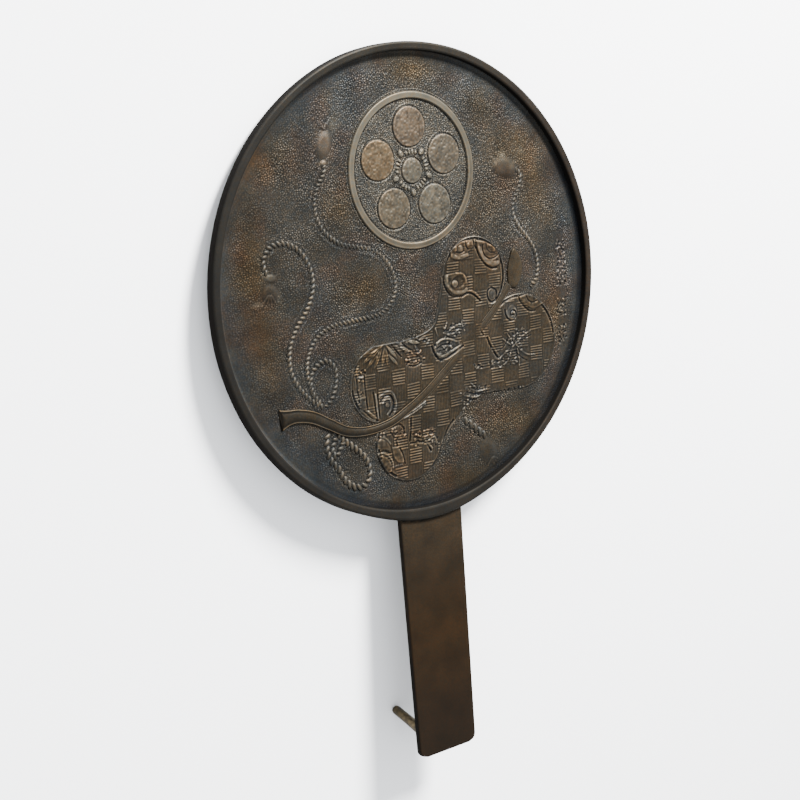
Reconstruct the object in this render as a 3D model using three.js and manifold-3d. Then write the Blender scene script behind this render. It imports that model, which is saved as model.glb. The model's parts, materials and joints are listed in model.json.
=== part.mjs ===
// A handled bronze mirror, seen from its decorated side, with the short support rod behind its handle.
//
// Units are millimetres. The casting is drawn in its own plane: origin at the disc's centre on the
// polished face, +Z towards the decorated side, +Y away from the handle. At the end the casting and
// the rod are turned together, so that the mirror lies on z = 0 with its decorated side up, on the
// far edge of the disc and on the rod's tip.

import * as THREE from 'three';
import { mergeVertices } from 'three/addons/utils/BufferGeometryUtils.js';
import Module from 'manifold-3d';

const wasm = await Module();
wasm.setup();

// Disc, rim and handle
const DISC_RADIUS = 105;
const DISC_SIDES = 90;
const RIM_HEIGHT = 5.1;
const RIM_WIDTH = 3.8;
const EDGE_BREAK = 0.4;
const FIELD_HEIGHT = 1.75;
const RIM_FLARE = 1.9;
const RIM_FLARE_SPREAD = 15;
const HANDLE_CENTRE = -1.1;
const HANDLE_WIDTH = 35;
const HANDLE_END_WIDTH = 32.7;
const HANDLE_TOP = -103.2;
const HANDLE_END = -219;
const HANDLE_THICKNESS = 3.1;
const HANDLE_CORNER = 3.6;

// Relief: every raised form starts inside the plate
const RELIEF_ROOT = 0.7;
const RING_RISE = 1.1;
const BOSS_RISE = 1.2;
const FAN_RISE = 0.5;
const FAN_BORDER = 1.3;
const BORDER_RISE = 0.95;
const CELL_RISE = 0.22;
const MOTIF_RISE = 1.05;
const SHAFT_RISE = 1.3;
const CORD_RADIUS = 1.55;
const CORD_STEP = 5.2;
const STROKE_RISE = 0.45;

// Plum-blossom crest
const CREST = { x: 3.1, y: 49.3, outer: 33.8, inner: 30.2, orbit: 19.1, petal: 9.1, heart: 5.7 };
const PETALS = 5;
const STAMEN_ORBIT = 9.5;
const STAMEN_RADIUS = 1.15;

// War fan: four round lobes joined by narrower waists, each arc running anticlockwise in degrees
const LOBES = [
  { x: 33.8, y: -1.5, r: 18.4, from: -38, to: 160, waist: [[11.3, -13.6], [7.4, -20.9], [-4.4, -24.2]] },
  { x: -21.9, y: -41.8, r: 17.4, from: 100, to: 278, waist: [[-20.8, -60]] },
  { x: -9.1, y: -69.4, r: 18.7, from: 148, to: 348, waist: [[17.9, -65.2], [25.7, -59.3], [35.3, -56.1]] },
  { x: 58.8, y: -34.9, r: 22.2, from: -98, to: 112, waist: [[48.7, -16.5]] },
];
const LOBE_STEP = 16;
const CELL_WIDTH = 8.17;
const CELL_HEIGHT = 7.17;
const CELL_ORIGIN = [-1.15, -0.22];
const CELL_COLUMNS = [-5, 10];
const CELL_ROWS = [-12, 2];
const CELL_MARGIN = 0.5;

// The fan's shaft: centre line with its width, from the forked butt to the fan's far edge
const SHAFT = [
  [-75.1, -48.3, 7.4], [-67.9, -48.6, 5.2], [-59.8, -51.2, 4.4], [-51.7, -55.4, 3.9],
  [-42.7, -59.7, 3.8], [-31.7, -61.2, 3.7], [-19.8, -59.9, 3.7], [-9.9, -55.9, 3.8],
  [0.9, -49.3, 4.2], [14.6, -40.8, 6.2], [27.3, -31.5, 8.2], [39, -22.7, 5.4],
  [46.7, -15.9, 3.8], [54.5, -7.7, 3.6],
];
const SHAFT_FORK = [[-82, -48.5], [-72.6, -49.2], [-82, -50.3]];
const SHAFT_TIP = [
  [54, -8.8], [59.7, -10.2], [64.1, -3.9], [64.2, 2.9], [59.9, 8.2], [55.6, 2.9], [53.6, -2.9],
];

// Twisted cords, as the centre lines that they follow over the field
const CORDS = [
  [[-42.7, 56.9], [-44.8, 51.8], [-48.3, 44.8], [-49.8, 37.8], [-47.8, 29.7], [-41.7, 23],
    [-32.6, 19.9], [-22.5, 17.8], [-15.6, 13.3], [-11.6, 6.3], [-11.1, -1.6], [-14.6, -8.5],
    [-22.6, -12.2], [-35.6, -12.3], [-47.7, -13.6], [-55.7, -18.4], [-60.3, -26.4], [-60.2, -35.4],
    [-57.7, -42.3], [-54.1, -46.7]],
  [[-54.6, -45.7], [-58.7, -40.3], [-59.2, -33.4], [-55.2, -28.2], [-49.6, -27.4], [-45.6, -31.8],
    [-46.1, -38.3], [-49.1, -44.2], [-53.1, -47.2]],
  [[-77.4, 13.8], [-77.9, 18.9], [-74.8, 23.9], [-67.1, 24.8], [-58.9, 20.7], [-54.3, 13.1],
    [-53.8, 4.6], [-57.8, -3.9], [-64.4, -11.9], [-68.8, -20.4], [-68.7, -29.4], [-64.8, -37.4],
    [-58.7, -44], [-53.6, -47.2]],
  [[-48.6, -57], [-46, -62.4], [-40.5, -68.7], [-34, -75], [-32.3, -80.4], [-35.5, -85.1],
    [-41.5, -84.4], [-46, -79.1], [-50, -71.8], [-53.6, -64], [-52.1, -57.1]],
  [[64.3, 41], [64.7, 36.6], [60.8, 31.2], [59.8, 24.9], [62.6, 18.5], [68.2, 12.1], [72, 5.8],
    [73.1, -1], [71.8, -6.8], [67.5, -10.5]],
  [[23.4, -64.5], [26.2, -68.8], [30, -73.6], [34.3, -77.8]],
];

// Tassels: knot end, far end, and width at each
const TASSELS = [
  { from: [-43.6, 57.4], to: [-38.6, 74], knot: 5.5, skirt: 8.5 },
  { from: [-75.2, 13.3], to: [-78.2, -0.3], knot: 4.5, skirt: 12 },
  { from: [63, 42.5], to: [51.6, 50.1], knot: 4.5, skirt: 11 },
  { from: [33.1, -77.4], to: [37.3, -87.9], knot: 5, skirt: 12 },
];

// Blossoms and rounded leaves on the fan: centre, half-length, half-width, turn, scallops
const BLOSSOMS = [
  { x: 25.2, y: 10.2, long: 5.8, wide: 3.6, turn: 12, scallops: 7 },
  { x: 42.4, y: 6.7, long: 8, wide: 3.3, turn: -54, scallops: 7 },
  { x: 22.7, y: -3.3, long: 5.8, wide: 5.4, turn: 0, scallops: 7 },
  { x: 43.2, y: -10.6, long: 3.4, wide: 3.6, turn: 0, scallops: 5 },
  { x: 66.8, y: -17.1, long: 8.2, wide: 3, turn: -22, scallops: 7 },
  { x: 53.6, y: -20.8, long: 3.2, wide: 2.8, turn: 20, scallops: 5 },
  { x: -24, y: -76.4, long: 3.6, wide: 5.4, turn: 10, scallops: 5 },
  { x: -15.6, y: -71.8, long: 6.6, wide: 3.4, turn: -28, scallops: 6 },
];
const SCALLOP_DEPTH = 0.14;
const POINTS_PER_SCALLOP = 3;

// Leaf sprays: root, leaf length and width, first and last direction in degrees, number of leaves
const SPRAYS = [
  { x: -4.7, y: -24.8, long: 9.5, wide: 2.2, from: 185, to: 290, leaves: 4 },
  { x: -18.5, y: -26.8, long: 8, wide: 2, from: 210, to: 330, leaves: 3 },
  { x: 16.9, y: -31.1, long: 10, wide: 2.2, from: 5, to: 185, leaves: 5 },
  { x: 10.5, y: -29.7, long: 7.5, wide: 2.2, from: 100, to: 320, leaves: 3 },
  { x: 53.9, y: -36.8, long: 9, wide: 1.8, from: 20, to: 200, leaves: 5 },
  { x: 59.2, y: -35.8, long: 7.5, wide: 1.8, from: -75, to: 80, leaves: 3 },
  { x: -27, y: -56.8, long: 9, wide: 2, from: 78, to: 156, leaves: 4 },
  { x: -17.6, y: -62.6, long: 9, wide: 2.2, from: 188, to: 262, leaves: 3 },
  { x: 33.1, y: -59.6, long: 9.5, wide: 2.4, from: 150, to: 372, leaves: 3 },
];
const STALKS = [[-36, -35.3, -51], [-33, -33.3, -53]];
const STALK_WIDTH = 1.6;
const CURL = { x: -20.2, y: -51.2, inner: 1.6, outer: 4.2, turns: 1.25, radius: 0.55, steps: 14 };

// Worn column of an inscription, as strokes that spell nothing
const STROKE_GROUPS = [[9.5, -12.7, 6], [-18.5, -28.1, 3], [-31, -39.6, 2]];
const STROKE_COLUMN = 88.6;
const STROKE_SPAN = 6.4;
const STROKE_WIDTH = 0.8;
const POST_REACH = 1.5;

// Support rod behind the handle
const ROD_ROOT = [-13.5, -207.1];
const ROD_LENGTH = 21.9;
const ROD_RADIUS = 2.15;
const ROD_FOOT_RADIUS = 2.7;
const ROD_LEAN = 15.1;
const ROD_SIDES = 20;
const JOINT_GAP = 0.3;

// Where the disc's lower edge touches the surface it lies on, in degrees from +Y towards +X: on the
// line from the rod's tip through the centre of gravity
const REST_AZIMUTH = 6;

const DEG = Math.PI / 180;

// ---- Solids from three.js geometry ----

function solid(geometry) {
  geometry.deleteAttribute('normal');
  geometry.deleteAttribute('uv');
  const merged = mergeVertices(geometry, 1e-4);
  const mesh = new wasm.Mesh({
    numProp: 3,
    vertProperties: new Float32Array(merged.attributes.position.array),
    triVerts: new Uint32Array(merged.index.array),
  });
  return new wasm.Manifold(mesh);
}

function geometryOf(manifold) {
  const { vertProperties, triVerts } = manifold.getMesh();
  const geometry = new THREE.BufferGeometry();
  geometry.setAttribute('position', new THREE.BufferAttribute(vertProperties, 3));
  geometry.setIndex(new THREE.BufferAttribute(triVerts, 1));
  geometry.computeVertexNormals();
  return geometry;
}

function join(solids) {
  return solids.reduce((whole, piece) => whole.add(piece));
}

// A closed profile of [radius, height] pairs turned about Z
function turned(profile, sides, start = 0) {
  const points = profile.map(([radius, height]) => new THREE.Vector2(radius, height));
  return solid(new THREE.LatheGeometry(points, sides, start).rotateX(Math.PI / 2));
}

// A plan outline raised from the plate to a height, its top edge broken where a bevel is given
function raised(outline, top, bevel = 0) {
  const shape = new THREE.Shape(outline.map(([x, y]) => new THREE.Vector2(x, y)));
  const geometry = new THREE.ExtrudeGeometry(shape, {
    depth: top - RELIEF_ROOT - 2 * bevel,
    bevelEnabled: bevel > 0,
    bevelThickness: bevel,
    bevelSize: bevel,
    bevelOffset: -bevel,
    bevelSegments: 1,
  });
  return solid(geometry.translate(0, 0, RELIEF_ROOT + bevel));
}

// A round bar along plan points, its centre line at the given height
function bar(points, radius, step, height, sides = 6) {
  const path = new THREE.CatmullRomCurve3(points.map(([x, y]) => new THREE.Vector3(x, y, height)));
  const section = new THREE.Shape();
  for (let side = 0; side < sides; side += 1) {
    const angle = ((side + 0.5) / sides) * 2 * Math.PI;
    const place = side === 0 ? 'moveTo' : 'lineTo';
    section[place](radius * Math.cos(angle), radius * Math.sin(angle));
  }
  const steps = Math.max(2, Math.round(path.getLength() / step));
  return solid(new THREE.ExtrudeGeometry(section, { steps, extrudePath: path }));
}

// ---- Plan outlines ----

function polar(x, y, radius, degrees) {
  return [x + radius * Math.cos(degrees * DEG), y + radius * Math.sin(degrees * DEG)];
}

function ellipsePoint(x, y, long, wide, turn, angle) {
  const u = long * Math.cos(angle);
  const v = wide * Math.sin(angle);
  const c = Math.cos(turn * DEG);
  const s = Math.sin(turn * DEG);
  return [x + u * c - v * s, y + u * s + v * c];
}

// The fan's outline, drawn in by a margin all round
function fanOutline(margin) {
  const points = [];
  for (const { x, y, r, from, to, waist } of LOBES) {
    const steps = Math.round((to - from) / LOBE_STEP);
    for (let i = 0; i <= steps; i += 1) {
      points.push(polar(x, y, r, from + ((to - from) * i) / steps));
    }
    points.push(...waist);
  }
  return points.map(([x, y], i) => {
    const before = points.at(i - 1);
    const after = points[(i + 1) % points.length];
    const run = Math.hypot(after[0] - before[0], after[1] - before[1]);
    const inX = -(after[1] - before[1]) / run;
    const inY = (after[0] - before[0]) / run;
    return [x + margin * inX, y + margin * inY];
  });
}

function blossomOutline({ x, y, long, wide, turn, scallops }) {
  const count = scallops * POINTS_PER_SCALLOP;
  return Array.from({ length: count }, (_, i) => {
    const angle = (i / count) * 2 * Math.PI;
    const swell = 1 - SCALLOP_DEPTH * (1 - Math.abs(Math.sin((angle * scallops) / 2)));
    return ellipsePoint(x, y, long * swell, wide * swell, turn, angle);
  });
}

function leafOutline(x, y, long, wide, degrees) {
  const along = [0, 0.35, 0.75, 1];
  const edge = (side) => along.map((t) => {
    const [u, v] = polar(x, y, long * t, degrees);
    return polar(u, v, (side * wide * Math.sin(Math.PI * (0.12 + 0.88 * t))) / 2, degrees + 90);
  });
  return [...edge(-1), ...edge(1).reverse().slice(1)];
}

// A band of changing width about a centre line of [x, y, width]
function bandOutline(stations, samples) {
  const line = new THREE.CatmullRomCurve3(stations.map(([x, y, w]) => new THREE.Vector3(x, y, w)));
  const left = [];
  const right = [];
  for (let i = 0; i <= samples; i += 1) {
    const at = line.getPoint(i / samples);
    const way = line.getTangent(i / samples);
    const run = Math.hypot(way.x, way.y);
    const offsetX = (-way.y / run) * (at.z / 2);
    const offsetY = (way.x / run) * (at.z / 2);
    left.unshift([at.x + offsetX, at.y + offsetY]);
    right.push([at.x - offsetX, at.y - offsetY]);
  }
  return [...right, ...left];
}

// ---- The casting ----

function discAndRim() {
  const inner = DISC_RADIUS - RIM_WIDTH;
  const profile = [
    [0, 0],
    [DISC_RADIUS - EDGE_BREAK, 0],
    [DISC_RADIUS, EDGE_BREAK],
    [DISC_RADIUS, RIM_HEIGHT - 1.4 * EDGE_BREAK],
    [DISC_RADIUS - EDGE_BREAK, RIM_HEIGHT - 0.4 * EDGE_BREAK],
    [DISC_RADIUS - 2.2 * EDGE_BREAK, RIM_HEIGHT],
    [inner + EDGE_BREAK, RIM_HEIGHT],
    [inner, RIM_HEIGHT - EDGE_BREAK],
    [inner - EDGE_BREAK, FIELD_HEIGHT + EDGE_BREAK],
    [inner - 2.5 * EDGE_BREAK, FIELD_HEIGHT],
    [0, FIELD_HEIGHT],
  ];
  const facet = (2 * Math.PI) / DISC_SIDES;
  const disc = turned(profile, DISC_SIDES, Math.PI - REST_AZIMUTH * DEG - facet / 2);
  return disc.warp((point) => {
    const radius = Math.hypot(point[0], point[1]);
    const share = Math.max(0, radius - inner) / RIM_WIDTH;
    const fromHandle = Math.atan2(point[0], -point[1]) / DEG;
    const swell = share * RIM_FLARE * Math.exp(-((fromHandle / RIM_FLARE_SPREAD) ** 2));
    point[0] *= 1 + swell / Math.max(radius, 1);
    point[1] *= 1 + swell / Math.max(radius, 1);
  });
}

function handle() {
  const half = HANDLE_WIDTH / 2;
  const end = HANDLE_END_WIDTH / 2;
  const turn = HANDLE_END + HANDLE_CORNER;
  const shape = new THREE.Shape();
  shape.moveTo(HANDLE_CENTRE - half, HANDLE_TOP);
  shape.lineTo(HANDLE_CENTRE - end, turn);
  shape.absarc(HANDLE_CENTRE - end + HANDLE_CORNER, turn, HANDLE_CORNER, Math.PI, 1.5 * Math.PI);
  shape.absarc(HANDLE_CENTRE + end - HANDLE_CORNER, turn, HANDLE_CORNER, 1.5 * Math.PI, 2 * Math.PI);
  shape.lineTo(HANDLE_CENTRE + half, HANDLE_TOP);
  const bevel = EDGE_BREAK;
  const geometry = new THREE.ExtrudeGeometry(shape, {
    depth: HANDLE_THICKNESS - 2 * bevel,
    bevelThickness: bevel,
    bevelSize: bevel,
    bevelOffset: -bevel,
    bevelSegments: 1,
    curveSegments: 6,
  });
  return solid(geometry.translate(0, 0, bevel));
}

function crest() {
  const ringTop = FIELD_HEIGHT + RING_RISE;
  const ring = turned([
    [CREST.inner - 0.3, RELIEF_ROOT],
    [CREST.outer + 0.3, RELIEF_ROOT],
    [CREST.outer - 0.3, ringTop],
    [CREST.inner + 0.3, ringTop],
    [CREST.inner - 0.3, RELIEF_ROOT],
  ], 54).translate([CREST.x, CREST.y, 0]);
  const boss = (radius, place, sides) => turned([
    [0, RELIEF_ROOT],
    [radius, RELIEF_ROOT],
    [radius, FIELD_HEIGHT + 0.6 * BOSS_RISE],
    [0.8 * radius, FIELD_HEIGHT + 0.95 * BOSS_RISE],
    [0, FIELD_HEIGHT + BOSS_RISE],
  ], sides).translate([...place, 0]);
  const pieces = [ring, boss(CREST.heart, [CREST.x, CREST.y], 18)];
  for (let i = 0; i < PETALS; i += 1) {
    const petalAngle = 90 + (360 / PETALS) * i;
    const stamenAngle = petalAngle + 180 / PETALS;
    pieces.push(boss(CREST.petal, polar(CREST.x, CREST.y, CREST.orbit, petalAngle), 22));
    pieces.push(boss(STAMEN_RADIUS, polar(CREST.x, CREST.y, STAMEN_ORBIT, stamenAngle), 6));
  }
  return join(pieces);
}

// The fan's face: a low plate with a raised border, and every second square of its weave raised
function fan() {
  const outer = raised(fanOutline(0), FIELD_HEIGHT + BORDER_RISE, 0.25);
  const pocket = raised(fanOutline(FAN_BORDER), FIELD_HEIGHT + BORDER_RISE + 1);
  const face = raised(fanOutline(FAN_BORDER / 2), FIELD_HEIGHT + FAN_RISE);
  const inside = raised(fanOutline(FAN_BORDER + CELL_MARGIN), FIELD_HEIGHT + FAN_RISE + CELL_RISE);
  const cells = [];
  for (let column = CELL_COLUMNS[0]; column < CELL_COLUMNS[1]; column += 1) {
    for (let row = CELL_ROWS[0]; row < CELL_ROWS[1]; row += 1) {
      if ((column + row) % 2 === 0) {
        const x = CELL_ORIGIN[0] + column * CELL_WIDTH;
        const y = CELL_ORIGIN[1] + row * CELL_HEIGHT;
        const gap = 0.2;
        cells.push(solid(new THREE.BoxGeometry(CELL_WIDTH - gap, CELL_HEIGHT - gap, 6)
          .translate(x + CELL_WIDTH / 2, y + CELL_HEIGHT / 2, 0)));
      }
    }
  }
  return join([outer.subtract(pocket), face, inside.intersect(join(cells))]);
}

function shaft() {
  const band = raised(bandOutline(SHAFT, 24), FIELD_HEIGHT + SHAFT_RISE, 0.45);
  const fork = raised(SHAFT_FORK, FIELD_HEIGHT + 3);
  const tip = new THREE.CatmullRomCurve3(
    SHAFT_TIP.map(([x, y]) => new THREE.Vector3(x, y, 0)), true);
  const leaf = raised(tip.getPoints(18).slice(1).map(({ x, y }) => [x, y]), FIELD_HEIGHT + 0.6);
  return band.subtract(fork).add(leaf);
}

function motifs() {
  const top = FIELD_HEIGHT + MOTIF_RISE;
  const pieces = BLOSSOMS.map((blossom) => raised(blossomOutline(blossom), top));
  for (const { x, y, long, wide, from, to, leaves } of SPRAYS) {
    for (let i = 0; i < leaves; i += 1) {
      const degrees = from + ((to - from) * i) / (leaves - 1);
      pieces.push(raised(leafOutline(x, y, long, wide, degrees), top));
    }
  }
  for (const [x, from, to] of STALKS) {
    pieces.push(raised(bandOutline([[x, from, STALK_WIDTH], [x, to, STALK_WIDTH]], 1), top));
  }
  const curl = Array.from({ length: CURL.steps }, (_, i) => {
    const t = i / (CURL.steps - 1);
    return polar(CURL.x, CURL.y, CURL.inner + (CURL.outer - CURL.inner) * t, 360 * CURL.turns * t);
  });
  pieces.push(bar(curl, CURL.radius, 2, FIELD_HEIGHT + FAN_RISE + 0.2, 6));
  return join(pieces);
}

function cordsAndTassels() {
  const pieces = CORDS.map((route) => bar(route, CORD_RADIUS, CORD_STEP, FIELD_HEIGHT - 0.1));
  for (const { from, to, knot, skirt } of TASSELS) {
    const at = (t) => [from[0] + (to[0] - from[0]) * t, from[1] + (to[1] - from[1]) * t];
    const stations = [[...at(-0.1), knot * 0.7], [...at(0.2), knot], [...at(0.35), knot * 0.8],
      [...at(0.7), skirt * 0.85], [...at(1), skirt]];
    pieces.push(raised(bandOutline(stations, 6), FIELD_HEIGHT + 0.9, 0.35));
  }
  return join(pieces);
}

function inscription() {
  const strokes = [];
  for (const [top, bottom, count] of STROKE_GROUPS) {
    for (let i = 0; i < count; i += 1) {
      const y = top + ((bottom - top) * (i + 0.5)) / count;
      const lean = ((i % 3) - 1) * 1.1;
      const half = (STROKE_SPAN / 2) * (i % 2 === 0 ? 1 : 0.7);
      const left = [STROKE_COLUMN - half, y - lean, STROKE_WIDTH];
      const right = [STROKE_COLUMN + half, y + lean, STROKE_WIDTH];
      const foot = [STROKE_COLUMN + lean, y - POST_REACH, STROKE_WIDTH];
      const head = [STROKE_COLUMN + lean, y + POST_REACH, STROKE_WIDTH];
      strokes.push(raised(bandOutline([left, right], 1), FIELD_HEIGHT + STROKE_RISE));
      if (i % 2 === 0) {
        strokes.push(raised(bandOutline([foot, head], 1), FIELD_HEIGHT + STROKE_RISE - 0.05));
      }
    }
  }
  return join(strokes);
}

function mirrorCasting() {
  const material = new THREE.MeshStandardMaterial({ color: 0x4a3f33, roughness: 0.55, metalness: 0.85 });
  const casting = join([
    discAndRim(), handle(), crest(), fan(), motifs(), shaft(), cordsAndTassels(), inscription(),
  ]);
  const mesh = new THREE.Mesh(geometryOf(casting), material);
  mesh.name = 'mirror';
  return mesh;
}

// ---- The rod ----

// Turned about its own axis, its length along -Z from the root, with a domed end and a flared foot
function supportRod() {
  const domeStart = ROD_LENGTH - ROD_RADIUS;
  const profile = [[0, -ROD_LENGTH]];
  for (const degrees of [30, 60, 90]) {
    const reach = ROD_RADIUS * Math.cos(degrees * DEG);
    profile.push([ROD_RADIUS * Math.sin(degrees * DEG), -domeStart - reach]);
  }
  profile.push([1.03 * ROD_RADIUS, -0.55 * ROD_LENGTH], [1.1 * ROD_RADIUS, -0.25 * ROD_LENGTH]);
  profile.push([ROD_FOOT_RADIUS, 0], [ROD_FOOT_RADIUS, ROD_RADIUS], [0, ROD_RADIUS]);
  const rod = turned(profile, ROD_SIDES)
    .rotate([ROD_LEAN, 0, 0])
    .translate([...ROD_ROOT, 0]);
  const above = solid(new THREE.BoxGeometry(40, 40, 20)
    .translate(...ROD_ROOT, 10 - JOINT_GAP));
  const material = new THREE.MeshStandardMaterial({ color: 0x5b4a2c, roughness: 0.5, metalness: 0.8 });
  const mesh = new THREE.Mesh(geometryOf(rod.subtract(above)), material);
  mesh.name = 'support_rod';
  return mesh;
}

// ---- Lying pose ----

// The turn that brings the disc's lower edge at REST_AZIMUTH and the rod's dome onto one level
function lyingTurn() {
  const edge = new THREE.Vector3(Math.sin(REST_AZIMUTH * DEG), Math.cos(REST_AZIMUTH * DEG), 0);
  const hinge = new THREE.Vector3(-edge.y, edge.x, 0);
  const apothem = (DISC_RADIUS - EDGE_BREAK) * Math.cos(Math.PI / DISC_SIDES);
  const lean = ROD_LEAN * DEG;
  const reach = ROD_LENGTH - ROD_RADIUS;
  const dome = new THREE.Vector3(ROD_ROOT[0], ROD_ROOT[1] + reach * Math.sin(lean), -reach * Math.cos(lean));
  const run = apothem - dome.dot(edge);
  const far = Math.hypot(run, dome.z);
  const drop = Math.atan2(-dome.z, run) + Math.asin(ROD_RADIUS / far);
  return new THREE.Quaternion().setFromAxisAngle(hinge, drop);
}

const mirror = new THREE.Group();
const casting = new THREE.Group();
casting.add(mirrorCasting(), supportRod());
casting.quaternion.copy(lyingTurn());
mirror.add(casting);

// The origin goes under the middle of the whole part, on the surface that it lies on
mirror.updateMatrixWorld(true);
const box = new THREE.Box3().setFromObject(mirror, true);
const middle = box.getCenter(new THREE.Vector3());
casting.position.set(-middle.x, -middle.y, -box.min.z);
mirror.updateMatrixWorld(true);

export default mirror;
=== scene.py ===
"""Looks of the handled bronze mirror: fine relief, patina, floor, light and camera.

Relief is worked out in the casting's own plane, in millimetres: origin at the disc's centre on the
polished face, +Z towards the decorated side, +Y away from the handle. The record's polished_face
mount says where that plane lies in the frame.
"""
import json
import math
from itertools import product

import bmesh
import bpy
import numpy as np
from mathutils import Matrix, Vector


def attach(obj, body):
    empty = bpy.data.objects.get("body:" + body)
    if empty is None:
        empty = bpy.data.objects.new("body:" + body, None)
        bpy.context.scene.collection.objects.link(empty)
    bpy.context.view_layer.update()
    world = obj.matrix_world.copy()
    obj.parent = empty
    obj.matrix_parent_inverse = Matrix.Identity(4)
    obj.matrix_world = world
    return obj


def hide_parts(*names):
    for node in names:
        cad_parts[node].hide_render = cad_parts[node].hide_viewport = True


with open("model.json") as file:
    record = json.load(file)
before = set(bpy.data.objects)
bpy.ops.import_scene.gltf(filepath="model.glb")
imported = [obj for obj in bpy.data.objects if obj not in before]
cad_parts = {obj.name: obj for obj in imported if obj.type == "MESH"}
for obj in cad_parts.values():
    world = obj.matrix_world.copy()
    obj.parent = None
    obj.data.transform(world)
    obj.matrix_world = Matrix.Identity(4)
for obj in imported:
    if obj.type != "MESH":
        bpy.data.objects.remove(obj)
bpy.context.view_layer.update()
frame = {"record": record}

MM = 0.001
DEG = math.pi / 180

# ---- Named sizes, in millimetres ----

DISC_RADIUS = 105.0
RIM_HEIGHT = 5.1
RIM_WIDTH = 3.8
RIM_FLARE = 1.9
RIM_FLARE_SPREAD = 15.0
FIELD_HEIGHT = 1.75
HANDLE_CENTRE = -1.1
HANDLE_WIDTH = 35.0
HANDLE_END_WIDTH = 32.7
HANDLE_TOP = -103.0
HANDLE_END = -219.0
HANDLE_THICKNESS = 3.1
HANDLE_CORNER = 3.6
HANDLE_EDGE = 0.55
HANDLE_STATIONS = 120
DISC_SIDES = 360
SHARP_ANGLE = 38

GROUND_STEP = 0.32
GROUND_LEVEL = FIELD_HEIGHT - 0.12
GRAIN_PITCH = (1.12, 0.82)
GRAIN_RISE = 0.47
CALM_FROM, CALM_TO = 92, 99.5
SLAB_BOTTOM = 0.9
CORE_LEVEL = 1.3

CREST = (3.1, 49.3)
CREST_STEP = 0.31
RING_INNER, RING_OUTER = 31.2, 34.7
RING_RISE = 0.85
PETALS = 5
PETAL_ORBIT, PETAL_RADIUS = 19.2, 8.9
HEART_RADIUS = 5.7
BOSS_RISE = 0.62
CREST_GRAIN = (0.95, 0.8)
BEAD_ORBIT, KNOB_ORBIT = 9.6, 8.1
KNOBS = [(-18, 1.1), (18, 1.1), (30, 1.35), (42, 1.35)]  # degrees past the bead, half length

FAN_STEP = 0.28
FAN_BORDER_WIDTH = 1.3
FAN_LOWEST = 1.05
FAN_LEVEL = FIELD_HEIGHT + 0.45
LOBES = [
    # centre, radius, arc from and to in degrees, points of the waist that follows it
    (33.8, -1.5, 18.4, -38, 160, [11.3, -13.6, 7.4, -20.9, -4.4, -24.2]),
    (-21.9, -41.8, 17.4, 100, 278, [-20.8, -60]),
    (-9.1, -69.4, 18.7, 148, 348, [17.9, -65.2, 25.7, -59.3, 35.3, -56.1]),
    (58.8, -34.9, 22.2, -98, 112, [48.7, -16.5]),
]
CELL_WIDTH, CELL_HEIGHT = 8.17, 7.34
CELL_ORIGIN = (-1.0, -0.6)
CELL_LEAN = 0.05
CELL_UPRIGHT_AT = -45.0
RIDGES_PER_CELL = 6
THREADS_PER_CELL = 9

SHAFT = [
    (-75.4, -48.6, 9.4), (-71.8, -48.3, 6.7), (-67.4, -48.4, 6), (-59.8, -50.4, 5.5), (-51.7, -54.8, 5),
    (-42.7, -59.5, 4.6), (-31.7, -61.2, 4), (-19.8, -59.9, 3.9), (-9.9, -55.9, 3.9), (0.9, -50.3, 3.7),
    (14.6, -41, 3.6), (27.3, -31.5, 3.8), (39, -22.7, 3.4), (46.7, -15.9, 3.2), (54.5, -7.7, 3.4),
]
SHAFT_NOTCH = 1.9
SHAFT_FAINT_AT, SHAFT_FAINT_SPREAD = 28, 9
SHAFT_TIP = [
    54.2, -8.4, 58.8, -9.4, 62.4, -3.9, 62.8, 2.6, 58.8, 8.6, 55.4, 3.2, 54, -2.9,
]
SHAFT_RISE = 1.25

CORDS = [  # size, route
    (0.95, [-42.9, 56, -43.8, 51.8, -47.2, 46.8, -49.6, 39.8, -48.6, 32.4, -45, 26.6, -38.6, 21.8,
     -30.5, 19.4, -22.5, 17.4, -16, 13, -11.8, 7, -10.4, 0, -12.8, -6.2, -18.4, -10.8, -27, -12, -38,
     -12.3, -48.2, -13.8, -55.7, -18.4, -60, -26.4, -60.2, -35.4, -57.7, -42.3, -54.1, -46.7]),
    (1.05, [-54.6, -45.7, -58.4, -40.3, -58.8, -33.4, -55.2, -28.6, -49.8, -27.6, -46, -31.8, -46.3,
     -38.3, -49.1, -44.2, -53.1, -47.2]),
    (1.05, [-76, 12.6, -77.3, 15.6, -77.2, 19.6, -73.6, 24, -67, 25, -59.6, 21.2, -54.6, 13.1, -54, 4.6,
     -57.8, -3.9, -64.4, -11.9, -68.4, -20.4, -68.5, -29.4, -64.8, -37.4, -58.7, -44, -53.6, -47.2]),
    (1.3, [-52.6, -58.4, -53.6, -62.6, -53.4, -67.4, -51.4, -72, -48.4, -75.4, -46.4, -80, -42.6, -84,
     -38, -85.6, -33.8, -84, -32.2, -79.6, -33.6, -74, -37.2, -69.6, -41.6, -65.8, -45.4, -62.6, -47.2,
     -59.6]),
    (1.15, [-44.4, -63.4, -46.6, -66.4, -49.4, -69.6, -51, -66.4, -49.8, -63, -47.6, -61]),
    (1, [62.6, 45.4, 65.6, 42, 64.7, 36.6, 61.2, 31.2, 60, 24.9, 62.8, 18.5, 68.2, 12.1, 72, 5.8,
     73.1, -1, 71.8, -6.8, 67.9, -10.3]),
    (1.5, [22.4, -65.8, 26.6, -69.2, 30.8, -72.8, 34.8, -76.4]),
]
STRAND_RADIUS = 0.86
STRAND_OFFSET = 0.62
STRAND_FLATNESS = 0.58
TWIST_PITCH = 4.5
CORD_LIFT = -0.52
CORD_STEP = 0.42
CORD_LIP = 2.3
STRAND_SIDES = 8

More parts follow.
